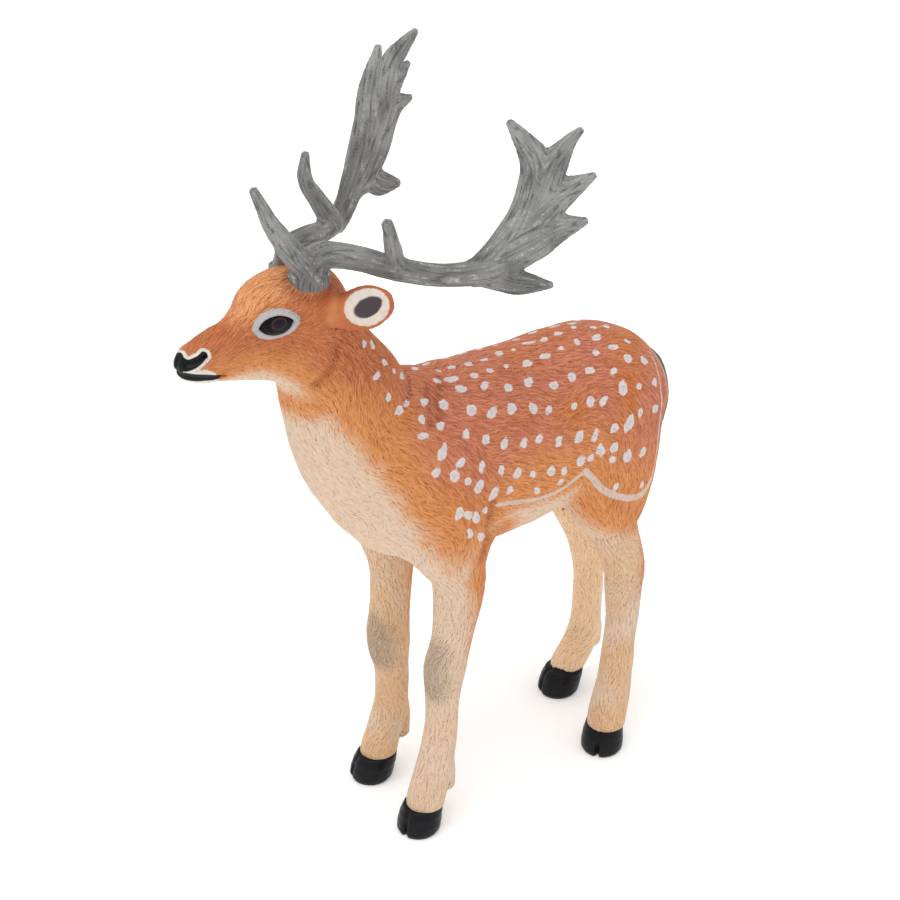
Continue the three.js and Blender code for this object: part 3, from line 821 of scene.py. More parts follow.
# orange on the cream: throat, rear of the forelegs, thighs and rear of the hind legs
ORANGE = (
    area((-6.4, -24.8, 86.0, 2.4), (-3.0, -29.4, 85.6, 1.9), (0, -30.9, 85.6, 1.7), (3.0, -29.4, 85.6, 1.9),
         (6.4, -24.8, 86.0, 2.4)),
    area((11.5, 1.5, 52.0, 6.0), (10.6, 2.0, 46.0, 5.4), (10.2, 0.9, 39.5, 4.2), (10.0, -1.6, 34.5, 2.0)),
    area((-7.4, 1.0, 50.0, 6.0), (-7.0, 1.4, 42.0, 5.2), (-7.0, 0.4, 33.0, 3.9)),
    area((12.4, 24.0, 56.0, 6.0), (12.8, 28.0, 52.2, 5.2), (12.2, 32.4, 49.0, 3.6)),
    area((11.4, 34.4, 50.0, 2.4), (11.4, 35.2, 43.5, 3.0), (10.8, 34.8, 38.0, 2.8), (10.2, 34.4, 33.5, 1.8)),
    area((-12.0, 26.0, 56.0, 5.8), (-12.4, 30.0, 52.0, 4.2), (-11.4, 35.0, 48.0, 2.6)),
    area((-11.2, 37.0, 48.0, 2.6), (-10.6, 40.6, 38.0, 2.8), (-10.0, 42.0, 30.0, 2.0)),
)
GREY_KNEES = (
    area((9.4, -10.2, 34.8, 2.6), (9.2, -11.0, 29.2, 3.3)),
    area((-7.2, -10.2, 29.8, 3.0), (-7.2, -9.9, 25.2, 3.0)),
)
# painted light: lighter patches on the forehead, which faces the light, and at the ears' roots
EAR_ROOT = area((6.2, -24.2, 101.3, 0.9), (8.0, -23.2, 102.0, 0.9))
PAINTED_LIGHT_FOREHEAD = area((0, -29.5, 107.8, 2.6), (0, -32.5, 106.0, 3.8), (0, -36.0, 103.2, 2.4))
DARK_TAIL = area((0, 41.0, 73.0, 2.4), (0, 44.2, 69.5, 3.5), (0, 45.6, 63.0, 3.5), (0, 45.2, 57.0, 2.7))
PALE_RUMP = area((0, 43.5, 68.0, 7.2), (0, 44.5, 60.0, 7.6), (0, 43.0, 52.0, 6.5))


class Tone(Enum):
    """Whites of the brush, by the number that the material picks them with."""

    SPOT = 0.0
    LINE = 0.25
    RING = 0.5
    EAR = 0.75
    NOSE = 1.0


@dataclass
class Spots:
    """Off-white dabs laid on the coat by brush, in wavering rows."""

    wander: float = 0.3  # how far a dab strays along its row
    sway: float = 1.3  # degrees that it strays to either side
    room: float = 1.35  # that dabs keep from each other, over their sizes
    girth: float = 14.0  # radius that turns angles into distances for this
    middle: float = 65.0  # height of the line that the angles turn about
    turn: float = 0.6  # radians that it is turned to either side
    widths: Row = (0.72, 1.08)  # of dabs over their row's size
    lengths: Row = (1.05, 1.75)  # of dabs over their width
    ragged: float = 0.34  # how far their edges stray
    reach: float = 2.5  # how far from the surface a dab still colours
    centres: Array = field(init=False)
    frames: Array = field(init=False)
    sizes: Array = field(init=False)

    def __post_init__(self) -> None:
        """Lays every row on both sides of the body."""
        rng = np.random.default_rng(SEED)
        places, sizes = [], []
        for side in (1, -1):
            for row in SPOT_ROWS:
                self._add_row(row, side, rng, places, sizes)
        self._add_row(SPINE_ROW, 1, rng, places, sizes)
        self.centres = BODY.laid(self._cast(self._spread(np.array(places), np.array(sizes))))
        normals = BODY.normals(self.centres)
        lie = unit(np.cross(normals, (1.0, 0.35, 0.0)))
        turn = rng.uniform(-self.turn, self.turn, len(lie))[:, None]
        lie = unit(lie * np.cos(turn) + np.cross(normals, lie) * np.sin(turn))
        self.frames = np.stack([lie, np.cross(normals, lie), normals], 1)
        widths = np.array(sizes) * rng.uniform(*self.widths, len(sizes))
        self.sizes = np.column_stack([widths * rng.uniform(*self.lengths, len(widths)), widths])
        self.tree = KDTree(len(self.centres))
        for index, centre in enumerate(self.centres):
            self.tree.insert(centre, index)
        self.tree.balance()

    def _add_row(self, row: SpotRow, side: int, rng: np.random.Generator, places: list, sizes: list) -> None:
        """Adds a row's places, as a distance along the back and an angle, and its sizes."""
        for share in np.linspace(0, 1, row.count):
            first, middle, last = row.angles
            slope, bend = 4 * middle - 3 * first - last, 2 * (first + last - 2 * middle)
            angle = first + slope * share + bend * share**2
            along = row.start + (row.end - row.start) * share + rng.normal(0, self.wander)
            places.append((along, math.radians(side * (angle + rng.normal(0, self.sway)))))
            sizes.append(row.size)

    def _spread(self, places: Array, sizes: Array) -> Array:
        """Moves places apart whose dabs would run into each other."""
        places = places * (1.0, self.girth)
        for _ in range(12):
            apart = places[:, None] - places
            far = np.linalg.norm(apart, axis=2) + np.eye(len(places)) * FAR
            push = np.clip(self.room * (sizes[:, None] + sizes) - far, 0, None) / far
            places += 0.3 * (apart * push[..., None]).sum(1)
        return places / (1.0, self.girth)

    def _cast(self, places: Array) -> Array:
        """Points where rays from outside towards the trunk's middle line first meet the body."""
        along, angle = places.T
        out = np.column_stack([np.sin(angle), np.zeros(len(angle)), np.cos(angle)])
        start = np.column_stack([np.zeros(len(along)), along, np.full(len(along), self.middle)])
        reach = np.full(len(along), 1.5 * FAR)
        for _ in range(40):
            reach -= np.clip(BODY.distance(start + out * reach[:, None]), -1, 4) * 0.8
        return start + out * reach[:, None]

    def inside(self, points: Array) -> Array:
        """How far inside the nearest dab each point is, in millimetres; negative outside."""
        found = np.fromiter((self.tree.find(p)[1] for p in points.tolist()), int, len(points))
        offset = points - self.centres[found]
        across = np.einsum("nij,nj->ni", self.frames[found], offset)
        size = self.sizes[found]
        round_edge = (1 - np.hypot(across[:, 0] / size[:, 0], across[:, 1] / size[:, 1])) * size[:, 1]
        inside = round_edge + self.ragged * perlin(points, 0.8)
        return np.where(np.abs(across[:, 2]) < self.reach, inside, -FAR)


@dataclass
class Markings:
    """Everything painted on the coat, as distances from the edges of the paint."""

    spots: Spots = field(default_factory=Spots)
    flank_width: float = 0.46  # half-widths of the painted lines
    thigh_width: float = 0.6
    rump_width: float = 0.27
    rim: float = 0.5  # white round the nose
    lip: Row = (-48.0, 96.2, -0.27)  # where the lip's line starts, its height there and its slope
    lines: list[Limb] = field(default_factory=list)

    def __post_init__(self) -> None:
        """Lays the painted lines on both sides of the body."""
        paths = (FLANK_LINE, THIGH_LINE, RUMP_LINE)
        for path, width in zip(paths, (self.flank_width, self.thigh_width, self.rump_width)):
            for rows in (path, mirrored(path)):
                stations = [(*point, width, 1.0) for point in BODY.laid(spline(rows, 4)).tolist()]
                self.lines.append(Limb(stations, cuts=1, margin=3.0))

    def whites(self, points: Array) -> tuple[Array, Array]:
        """How far inside white paint each point is, and which white it is."""
        behind_tip = smoothstep(-48.2, -47.4, points[:, 1])
        rim = self.rim - nose_distance(points, slice(2)) + 0.1 * perlin(points, 1.2)
        start, height, slope = self.lip
        under_lip = smoothstep(0.0, -0.5, points[:, 2] - (height + slope * (points[:, 1] - start)))
        chin = under_lip * smoothstep(-41.0, -43.5, points[:, 1]) * 1.5 - 0.6
        wedge = -LIP_WEDGE.distance(folded(points))
        layers = {
            Tone.SPOT: self.spots.inside(points),
            Tone.LINE: -closest(self.lines, points) + 0.12 * perlin(points, 1.0, 7.0),
            Tone.RING: -EYE.almond(points, EYE.ring) + 0.06 * perlin(points, 0.8),
            Tone.EAR: -ear_white(points) + 0.08 * perlin(points, 1.0),
            Tone.NOSE: np.maximum(np.maximum(rim * behind_tip, chin), wedge),
        }
        stack = np.array(list(layers.values()))
        tones = np.array([tone.value for tone in layers])
        return stack.max(0), tones[stack.argmax(0)]

    def fields(self, points: Array) -> dict[str, Array]:
        """Numbers that the coat's material reads at each point.

        Args:
            points: places on or near the body.

        Returns:
            Distances in millimetres, positive inside each kind of paint.
        """
        white, tone = self.whites(points)
        orange = np.minimum(-closest(ORANGE, points), 4.0)
        head = smoothstep(-24, -32, points[:, 1]) * smoothstep(88, 93, points[:, 2])
        ear_dark = -EAR_FACE.oval(points, EAR_FACE.dark, EAR_FACE.dark_turn) + 0.12 * perlin(points, 1.0)
        return {
            "white_mm": white,
            "white_tone": tone,
            "black_mm": -nose_distance(points),
            "ear_dark_mm": ear_dark,
            "coat_mm": np.maximum(closest(CREAM, points), orange) * (1 + 0.9 * head),
            "grey_mm": -closest(GREY_KNEES, points),
            "tail_mm": -DARK_TAIL.distance(points),
            # painted light on the forehead and at the ears' roots
            "painted_light_mm": -np.minimum(PAINTED_LIGHT_FOREHEAD.distance(points), EAR_ROOT.distance(folded(points))),
            "rump_mm": -PALE_RUMP.distance(points),
        }


# ------------------------------------------------------------------ finishes


def linear(code: str) -> tuple[float, float, float, float]:
    """An sRGB hex colour as linear light."""
    parts = [int(code[i:i + 2], 16) / 255 for i in (1, 3, 5)]
    return (*(p / 12.92 if p <= 0.04045 else ((p + 0.055) / 1.055) ** 2.4 for p in parts), 1.0)


def add(tree: bpy.types.NodeTree, kind: str, inputs: dict, output: int | None = 0, **settings):
    """Adds a shader node.

    Args:
        tree: where it goes.
        kind: its type, without "ShaderNode" in front.
        inputs: for each input, by name or number, its value or the socket that feeds it.
        output: which of its outputs is wanted, or None for the node.
        settings: its own properties.

    Returns:
        The wanted output, or the node.
    """
    made = tree.nodes.new("ShaderNode" + kind)
    for name, value in settings.items():
        setattr(made, name, value)
    for key, value in inputs.items():
        if isinstance(value, bpy.types.NodeSocket):
            tree.links.new(value, made.inputs[key])
        else:
            made.inputs[key].default_value = value
    return made if output is None else made.outputs[output]


@dataclass
class Finish:
    """A material that is being mixed, with the steps that all the paints share."""

    name: str

    def __post_init__(self) -> None:
        """Starts an empty material with its object coordinates at hand."""
        self.material = bpy.data.materials.new(self.name)
        self.material.use_nodes = True
        self.tree = self.material.node_tree
        self.tree.nodes.clear()
        self.place = add(self.tree, "TexCoord", {}, output=3)

    def read(self, name: str) -> Socket:
        """A number stored on the mesh."""
        return add(self.tree, "Attribute", {}, output=2, attribute_name=name)

    def cloud(self, size_mm: float, detail: float = 2.0) -> Socket:
        """Noise from 0 to 1 with patches of about this size."""
        inputs = {"Vector": self.place, "Scale": 1 / (size_mm * MM), "Detail": detail}
        return add(self.tree, "TexNoise", inputs)

    def calc(self, operation: str, first, second=0.0, third=0.0) -> Socket:
        """One sum on numbers or sockets."""
        return add(self.tree, "Math", {0: first, 1: second, 2: third}, operation=operation)

    def times(self, *factors) -> Socket:
        """The product of numbers or sockets."""
        product, *rest = factors
        for factor in rest:
            product = self.calc("MULTIPLY", product, factor)
        return product

    def ramp(self, value, low: float, high: float, start: float = 0.0, end: float = 1.0) -> Socket:
        """A smooth step from ``start`` at ``low`` to ``end`` at ``high``, which may lie below it."""
        inputs = {"Value": value, 1: low, 2: high, 3: start, 4: end}
        return add(self.tree, "MapRange", inputs, interpolation_type="SMOOTHSTEP")

    def zone(self, axis: str, low: float, high: float, start: float = 0.0, end: float = 1.0) -> Socket:
        """The same along X, Y or Z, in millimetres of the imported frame."""
        way = add(self.tree, "SeparateXYZ", {0: self.place}, output="XYZ".index(axis))
        return self.ramp(way, low * MM, high * MM, start, end)

    def mix(self, share, first, second) -> Socket:
        """Two colours, as hex codes or sockets, mixed by a share."""
        first = linear(first) if isinstance(first, str) else first
        second = linear(second) if isinstance(second, str) else second
        inputs = {0: share, 6: first, 7: second}
        return add(self.tree, "Mix", inputs, output=2, data_type="RGBA")

    def bump(self, height, strength: float, distance_mm: float = 0.1) -> Socket:
        """A normal that a fine relief tilts."""
        inputs = {"Strength": strength, "Distance": distance_mm * MM, "Height": height}
        return add(self.tree, "Bump", inputs)

    def close(self, inputs: dict) -> bpy.types.Material:
        """Ends the material in a Principled shader with these inputs."""
        shader = add(self.tree, "BsdfPrincipled", inputs)
        add(self.tree, "OutputMaterial", {"Surface": shader}, output=None)
        return self.material


@dataclass(frozen=True)
class CoatPaint:
    """Matt acrylic on moulded PVC: sprayed grounds, a dark wash in the carving, brushed marks.

    It gives the eye chalky colours that run softly together, darker grooves between the locks, and
    off-white marks with the edge of a brush. It hardly shines, apart from the nose.
    """

    cream: str = "#dbc0a8"
    peach: str = "#dab28a"  # the legs
    peach_painted_light: str = "#f7d4ac"  # painted light: the right hind leg, which stands in shade, is painted paler
    ochre: str = "#d58b50"
    rust: str = "#c2755a"
    rust_warm: str = "#c3733f"
    brown: str = "#ba6a40"
    # painted light for the lit forehead and the ears' roots, and the painted highlights on its crests
    painted_lit_gold: str = "#e09560"
    crest_painted_highlight: str = "#fad0a0"
    groove_light: str = "#c1854f"
    groove_dark: str = "#8a4322"
    crest: str = "#ecb286"
    crest_light: str = "#f0dcc6"
    grey: str = "#9d8b7b"
    soot: str = "#231f1f"
    rump: str = "#dccbbb"
    black: str = "#0f0e0e"
    plum: str = "#3a2f39"
    # in the order of Tone
    whites: tuple[str, ...] = ("#d8d3d3", "#d3bfb2", "#b3b2b4", "#ded4c8", "#dedbd4")
    spot_core: str = "#c3bcbd"
    grit_mm: float = 0.35  # grains of the sprayed paint, drawn a little coarse so that they show

    def build(self) -> bpy.types.Material:
        """Mixes the paint."""
        mix = Finish("painted_pvc_coat")
        colour = self._ground(mix)
        colour = self._washed_and_painted_light(mix, colour)
        colour = self._marked(mix, colour)
        grit = mix.cloud(self.grit_mm, 3.0)
        relief = mix.calc("MULTIPLY_ADD", mix.cloud(1.6), 2.0, grit)
        relief = mix.calc("MULTIPLY_ADD", mix.cloud(0.75), 1.6, relief)
        black = mix.ramp(mix.read("black_mm"), -0.1, 0.1)
        rough = mix.calc("MULTIPLY_ADD", grit, 0.12, 0.52)
        rough = mix.calc("MULTIPLY_ADD", black, -0.22, rough)
        return mix.close({
            "Base Color": colour, "Roughness": rough, "Normal": mix.bump(relief, 0.4),
            "Specular IOR Level": 0.18,
        })

    def _ground(self, mix: Finish) -> Socket:
        """Sprayed grounds: cream below, ochre above it, rust on the back, and painted light on the forehead,
        the ears' roots and the right hind leg.
        """
        drift = mix.calc("SUBTRACT", mix.cloud(3.5, 4.0), 0.5)
        coat = mix.calc("MULTIPLY_ADD", drift, 3.2, mix.read("coat_mm"))
        coat = mix.calc("MULTIPLY_ADD", mix.calc("SUBTRACT", mix.read("tint"), 0.4), 2.2, coat)
        colour = mix.mix(mix.ramp(coat, -1.8, 1.4), self._light(mix), self.ochre)
        high = mix.zone("Z", 80, 90)
        rust = mix.mix(mix.ramp(mix.cloud(11.0), 0.4, 0.7), self.rust, self.rust_warm)
        rust = mix.mix(high, rust, self.brown)
        # painted light: a lighter gold on the forehead and at the ears' roots
        painted_lit_gold = mix.calc("MULTIPLY_ADD", drift, 4.0, mix.read("painted_light_mm"))
        rust = mix.mix(mix.ramp(painted_lit_gold, -2.6, 1.4), rust, self.painted_lit_gold)
        nape = mix.times(mix.zone("Y", -31, -27), high, mix.ramp(coat, 2.5, 7.0))
        flank = mix.times(mix.zone("Y", 0, 6), mix.zone("Y", 27, 22), mix.zone("Z", 73, 65))
        back = mix.times(mix.ramp(coat, 1.5, 11.0), mix.calc("MULTIPLY_ADD", flank, -0.6, 1.0))
        colour = mix.mix(mix.calc("MAXIMUM", nape, back), colour, rust)
        grey = mix.calc("MULTIPLY_ADD", drift, 3.0, mix.read("grey_mm"))
        colour = mix.mix(mix.ramp(grey, -2.4, 1.6, 0.0, 0.7), colour, self.grey)
        colour = mix.mix(mix.ramp(mix.read("rump_mm"), -1.6, 0.8, 0.0, 0.85), colour, self.rump)
        return mix.mix(mix.ramp(mix.read("tail_mm"), -0.9, 0.5, 0.0, 0.9), colour, self.soot)

    def _light(self, mix: Finish) -> Socket:
        """The light ground, warmer on the legs, apart from the left foreleg, with painted light on the right
        hind leg.
        """
        left_foreleg = mix.times(mix.zone("X", 0, 4, 0.0, -0.7), mix.zone("Y", 14, 8))
        legs = mix.times(mix.zone("Z", 62, 32), mix.calc("ADD", left_foreleg, 1.0))
        light = mix.mix(mix.times(legs, mix.ramp(mix.cloud(9.0), 0.3, 0.6)), self.cream, self.peach)
        # painted light: the right hind leg, which stands in shade, is painted paler
        right_hind_painted_light = mix.times(mix.zone("X", 0, -4), mix.zone("Y", 14, 22))
        return mix.mix(mix.times(right_hind_painted_light, 0.8), light, self.peach_painted_light)

    def _washed_and_painted_light(self, mix: Finish, colour: Socket) -> Socket:
        """A dark wash between the locks and in the creases, painted shade round the antlers' feet, and a dry
        brush over their crests, with painted highlights on the forehead and at the ears' roots.
        """
        coat, crest, tint = mix.read("coat_mm"), mix.read("crest"), mix.read("tint")
        dark = mix.ramp(coat, -1.5, 3.0)
        painted_lit_gold = mix.ramp(mix.read("painted_light_mm"), -2.6, 1.0)
        groove = mix.mix(dark, self.groove_light, self.groove_dark)
        coat_edge = mix.times(mix.ramp(coat, -3.5, 0.0), mix.ramp(coat, 6.0, 1.5))
        hold = mix.calc("MULTIPLY_ADD", coat_edge, 0.4, mix.ramp(mix.cloud(4.5), 0.35, 0.7, 0.08, 0.32))
        hold = mix.times(hold, mix.zone("Z", 38, 56, 0.2, 1.0))
        colour = mix.mix(mix.times(mix.ramp(crest, 0.5, 0.0), hold), colour, groove)
        # more dark locks where the painted light lies, for contrast with its painted highlights
        shade = mix.times(mix.ramp(tint, 0.4, 0.1), dark, mix.calc("MULTIPLY_ADD", painted_lit_gold, 0.25, 0.3))
        colour = mix.mix(shade, colour, groove)
        # the dark wash in the creases, and painted shade round the antlers' feet
        colour = mix.mix(mix.times(mix.read("wash_and_burr_shade"), 0.6), colour, groove)
        colour = mix.mix(mix.ramp(mix.cloud(0.8, 3.0), 0.5, 0.7, 0.0, 0.2), colour, groove)
        # dry brush over the crests; stronger and lighter on the forehead and at the ears' roots, as painted
        # highlights
        dry = mix.times(mix.ramp(crest, 0.4, 0.95), mix.ramp(tint, 0.4, 0.85))
        much = mix.calc("MULTIPLY_ADD", painted_lit_gold, 0.32, 0.48)
        much = mix.times(much, mix.ramp(mix.read("tail_mm"), -0.9, 0.5, 1.0, 0.25))
        brushed = mix.mix(painted_lit_gold, mix.mix(dark, self.crest_light, self.crest), self.crest_painted_highlight)
        return mix.mix(mix.times(dry, much), colour, brushed)

    def _marked(self, mix: Finish, colour: Socket) -> Socket:
        """Brushed marks: dabs, lines, the ring of the eye, ears and nose."""
        ragged = mix.calc("MULTIPLY_ADD", mix.cloud(0.5, 3.0), 0.3, -0.15)
        inside = mix.calc("ADD", mix.read("white_mm"), ragged)
        tone = mix.calc("MULTIPLY_ADD", mix.read("white_tone"), 0.8, 0.1)
        spot_core = mix.times(mix.ramp(inside, 0.2, 0.6), mix.ramp(tone, 0.16, 0.14, 0.0, 0.4))
        white = mix.mix(spot_core, self._white(mix, tone), self.spot_core)
        thin = mix.ramp(mix.cloud(0.9), 0.3, 0.6, 0.84, 0.98)
        colour = mix.mix(mix.times(mix.ramp(inside, -0.08, 0.1), thin), colour, white)
        colour = mix.mix(mix.ramp(mix.read("ear_dark_mm"), -0.14, 0.14, 0.0, 0.96), colour, self.plum)
        return mix.mix(mix.ramp(mix.read("black_mm"), -0.06, 0.06), colour, self.black)

    def _white(self, mix: Finish, tone: Socket) -> Socket:
        """The white that a tone stands for."""
        ramp = add(mix.tree, "ValToRGB", {0: tone}, output=None)
        ramp.color_ramp.interpolation = "CONSTANT"
        steps = ramp.color_ramp.elements
        for index, code in enumerate(self.whites):
            step = steps[index] if index < 2 else steps.new(index / len(self.whites))
            step.position = index / len(self.whites)
            step.color = linear(code)
        return ramp.outputs[0]


@dataclass(frozen=True)
class AntlerPaint:
    """Grey acrylic on moulded PVC, with a brown wash and a dry-brushed crest.

    It gives the eye dull, bony grey with darker lines along the grooves and pale edges, and painted shade
    towards its foot.
    """

    base: str = "#7a7a78"
    pale: str = "#a2a29f"
    # the wash's colour, also used for painted shade towards the antler's foot
    wash: str = "#504e4b"
    chip: str = "#d3d0c9"

    def build(self) -> bpy.types.Material:
        """Mixes the paint."""
        mix = Finish("painted_pvc_antler")
        groove = mix.read("groove")
        crest = mix.ramp(groove, 0.2, 0.0)
        colour = mix.mix(mix.ramp(mix.cloud(5.0, 3.0), 0.35, 0.7, 0.0, 0.75), self.base, self.pale)
        # painted shade: darker towards the antler's foot, in the colour of the wash
        colour = mix.mix(mix.zone("Z", 120, 108, 0.0, 0.3), colour, self.wash)
        colour = mix.mix(mix.ramp(groove, 0.42, 0.95, 0.0, 0.85), colour, self.wash)
        worn = mix.times(crest, mix.ramp(mix.cloud(1.1, 4.0), 0.4, 0.6, 0.1, 0.8))
        colour = mix.mix(worn, colour, self.pale)
        flecks = mix.times(mix.ramp(mix.cloud(0.7, 3.0), 0.6, 0.68, 0.0, 0.5), crest)
        colour = mix.mix(flecks, colour, self.chip)
        chips = mix.times(mix.ramp(mix.cloud(0.8, 3.0), 0.62, 0.68), mix.read("burr"))
        colour = mix.mix(chips, colour, self.chip)
        relief = mix.bump(mix.cloud(0.35, 3.0), 0.3)
        rough = mix.calc("MULTIPLY_ADD", groove, 0.15, 0.5)
        return mix.close({
            "Base Color": colour, "Roughness": rough, "Normal": relief, "Specular IOR Level": 0.3,
        })


@dataclass(frozen=True)
class HoofEnamel:
    """Semi-gloss black enamel on moulded PVC.

    It gives the eye near-black horn with a soft broad shine and a few paler scuffs at the rim.
    """

    black: str = "#121216"
    worn: str = "#3c393a"

    def build(self) -> bpy.types.Material:
        """Mixes the enamel."""
        mix = Finish("black_hoof_enamel")
        scuff = mix.ramp(mix.cloud(0.9, 4.0), 0.55, 0.75, 0.0, 0.6)
        colour = mix.mix(mix.times(scuff, mix.zone("Z", 1.2, 0, 0.25, 1.0)), self.black, self.worn)
        rough = mix.calc("MULTIPLY_ADD", scuff, 0.3, 0.34)
        relief = mix.bump(mix.cloud(0.7), 0.2)
        return mix.close({
            "Base Color": colour, "Roughness": rough, "Normal": relief, "Specular IOR Level": 0.18,
        })


@dataclass(frozen=True)
class EyeEnamel:
    """Gloss enamel on a moulded eye: black, with a brown iris and a dark plum pupil.

    It gives the eye a wet look with sharp small highlights.
    """

    black: str = "#0d0a0e"
    iris: str = "#412820"
    pupil: str = "#1f1826"

    def build(self) -> bpy.types.Material:
        """Mixes the enamel."""
        mix = Finish("gloss_eye_enamel")
        away = mix.read("pupil_mm")
        colour = mix.mix(mix.ramp(away, 0.3, 0.2), self.black, self.iris)
        colour = mix.mix(mix.ramp(away, 0.05, -0.05), colour, self.pupil)
        relief = mix.bump(mix.cloud(0.6), 0.06, 0.05)
        return mix.close({
            "Base Color": colour, "Roughness": 0.2, "Normal": relief, "Specular IOR Level": 0.12,
        })


@dataclass(frozen=True)
class StudioPaper:
    """Seamless white background paper, lit from below as well: only faint contact shadows show."""

    white: str = "#fbfbfb"
    glow: float = 0.22  # lamps under a translucent table

    def build(self) -> bpy.types.Material:
        """Mixes the paper."""
        mix = Finish("white_paper")
        white = linear(self.white)
        return mix.close({
            "Base Color": white, "Roughness": mix.ramp(mix.cloud(2.0), 0.0, 1.0, 0.88, 0.92),
            "Specular IOR Level": 0.1, "Emission Color": white, "Emission Strength": self.glow,
        })


# ------------------------------------------------------------------ skin and hair


@dataclass
class Skin:
    """One closed skin over trunk, neck, head, ears, tail and legs."""

    surface: Surface
    markings: Markings
    place: Place
    paint: bpy.types.Material
    voxel: float = 0.56
    crest: float = 0.6  # how high on a lock its paint is, and which lock's tint it has
    tint: float = 0.3

    NODES = ("trunk", "neck", "head", "tail", "ear_left", "ear_right", "leg_front_left", "leg_front_right",
             "leg_hind_left", "leg_hind_right")

    def build(self) -> bpy.types.Object:
        """Models and paints the skin.

        Returns:
            The skin, which stands for every node of flesh.
        """
        clay = Clay(BODY.limbs(), self.voxel)
        clay.settle(BODY, 2)
        for where in (self._fine, self._finest, self._finest):
            clay.refine(where)
            clay.settle(BODY, 1)
        points = clay.carve(BODY, self.surface.height)
        set_fields(clay.mesh, {
            **self.markings.fields(points),
            "crest": np.full(len(points), self.crest),
            "tint": np.full(len(points), self.tint),
            "wash_and_burr_shade": self.surface.folds(points),
        })
        skin = self.place.finish(clay.mesh, "skin", self.paint)
        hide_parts(*self.NODES)
        return skin

    @staticmethod
    def _fine(points: Array) -> Array:
        """The head, whose folds need smaller faces."""
        return (points[:, 1] < -26) & (points[:, 2] > 88)

    @staticmethod
    def _finest(points: Array) -> Array:
        """The eyes' lids."""
        return np.abs(EYE.almond(points, EYE.lids)) < 0.9


def bare(points: Array) -> Array:
    """1 where the skin has no carved hair: eyes, nose, feet, and the ears' inside and roots."""
    eyes = smoothstep(0.9, 0.1, EYE.almond(points, EYE.ring))
    nose = smoothstep(0.9, 0.2, nose_distance(points))
    ears = smoothstep(0.5, -0.3, ear_white(points))
    roots = smoothstep(4.0, 5.2, np.abs(points[:, 0])) * (points[:, 2] > 99) * (points[:, 1] > -27)
    feet = (above_coronet(points) < 0.5).astype(float)
    return np.maximum.reduce([eyes, nose, ears, roots, feet])


@dataclass(frozen=True)
class Lock:
    """One carved lock: a low, slightly bent ridge, long along Y and half sunk in the skin."""

    points: Array
    corners: Array
    crest: Array

    @classmethod
    def carve(cls, sides: int = 3, rings: int = 5) -> "Lock":
        """Makes the lock from a ball, at unit half-sizes.

        Args:
            sides: faces round it.
            rings: faces along it.

        Returns:
            The lock.
        """
        bm = bmesh.new()
        bmesh.ops.create_uvsphere(bm, u_segments=sides, v_segments=rings, radius=1)
        bmesh.ops.rotate(bm, verts=bm.verts, matrix=Matrix.Rotation(math.radians(-90), 3, "X"))
        ridge = max(bm.verts, key=lambda vert: vert.co.xz.length)
        turn = math.atan2(ridge.co.x, ridge.co.z)
        bmesh.ops.rotate(bm, verts=bm.verts, matrix=Matrix.Rotation(-turn, 3, "Y"))
        for vert in bm.verts:
            vert.co.x *= 1 - 0.45 * vert.co.y  # narrower at its end
            vert.co.x += 0.35 * vert.co.y**2  # bent
            vert.co.z *= 0.85 + 0.25 * vert.co.y  # and higher there
        bmesh.ops.triangulate(bm, faces=bm.faces)
        bmesh.ops.recalc_face_normals(bm, faces=bm.faces)
        bm.verts.ensure_lookup_table()
        points = np.array([vert.co[:] for vert in bm.verts])
        corners = np.array([[vert.index for vert in face.verts] for face in bm.faces])
        bm.free()
        return cls(points, corners, np.clip(points[:, 2], 0, 1))


HEAD_PLANE = ((0, -25.2, 92.6), (0, -0.575, 0.818))  # a point of it and the way that it faces
NECK_PLANE = ((0, -16.0, 74.0), (0, -0.78, 0.63))


def beyond(points: Array, plane: tuple[Row, Row]) -> Array:
    """Which points lie on the side that a plane faces."""
    at, facing = plane
    return (points - at) @ np.array(facing) > 0


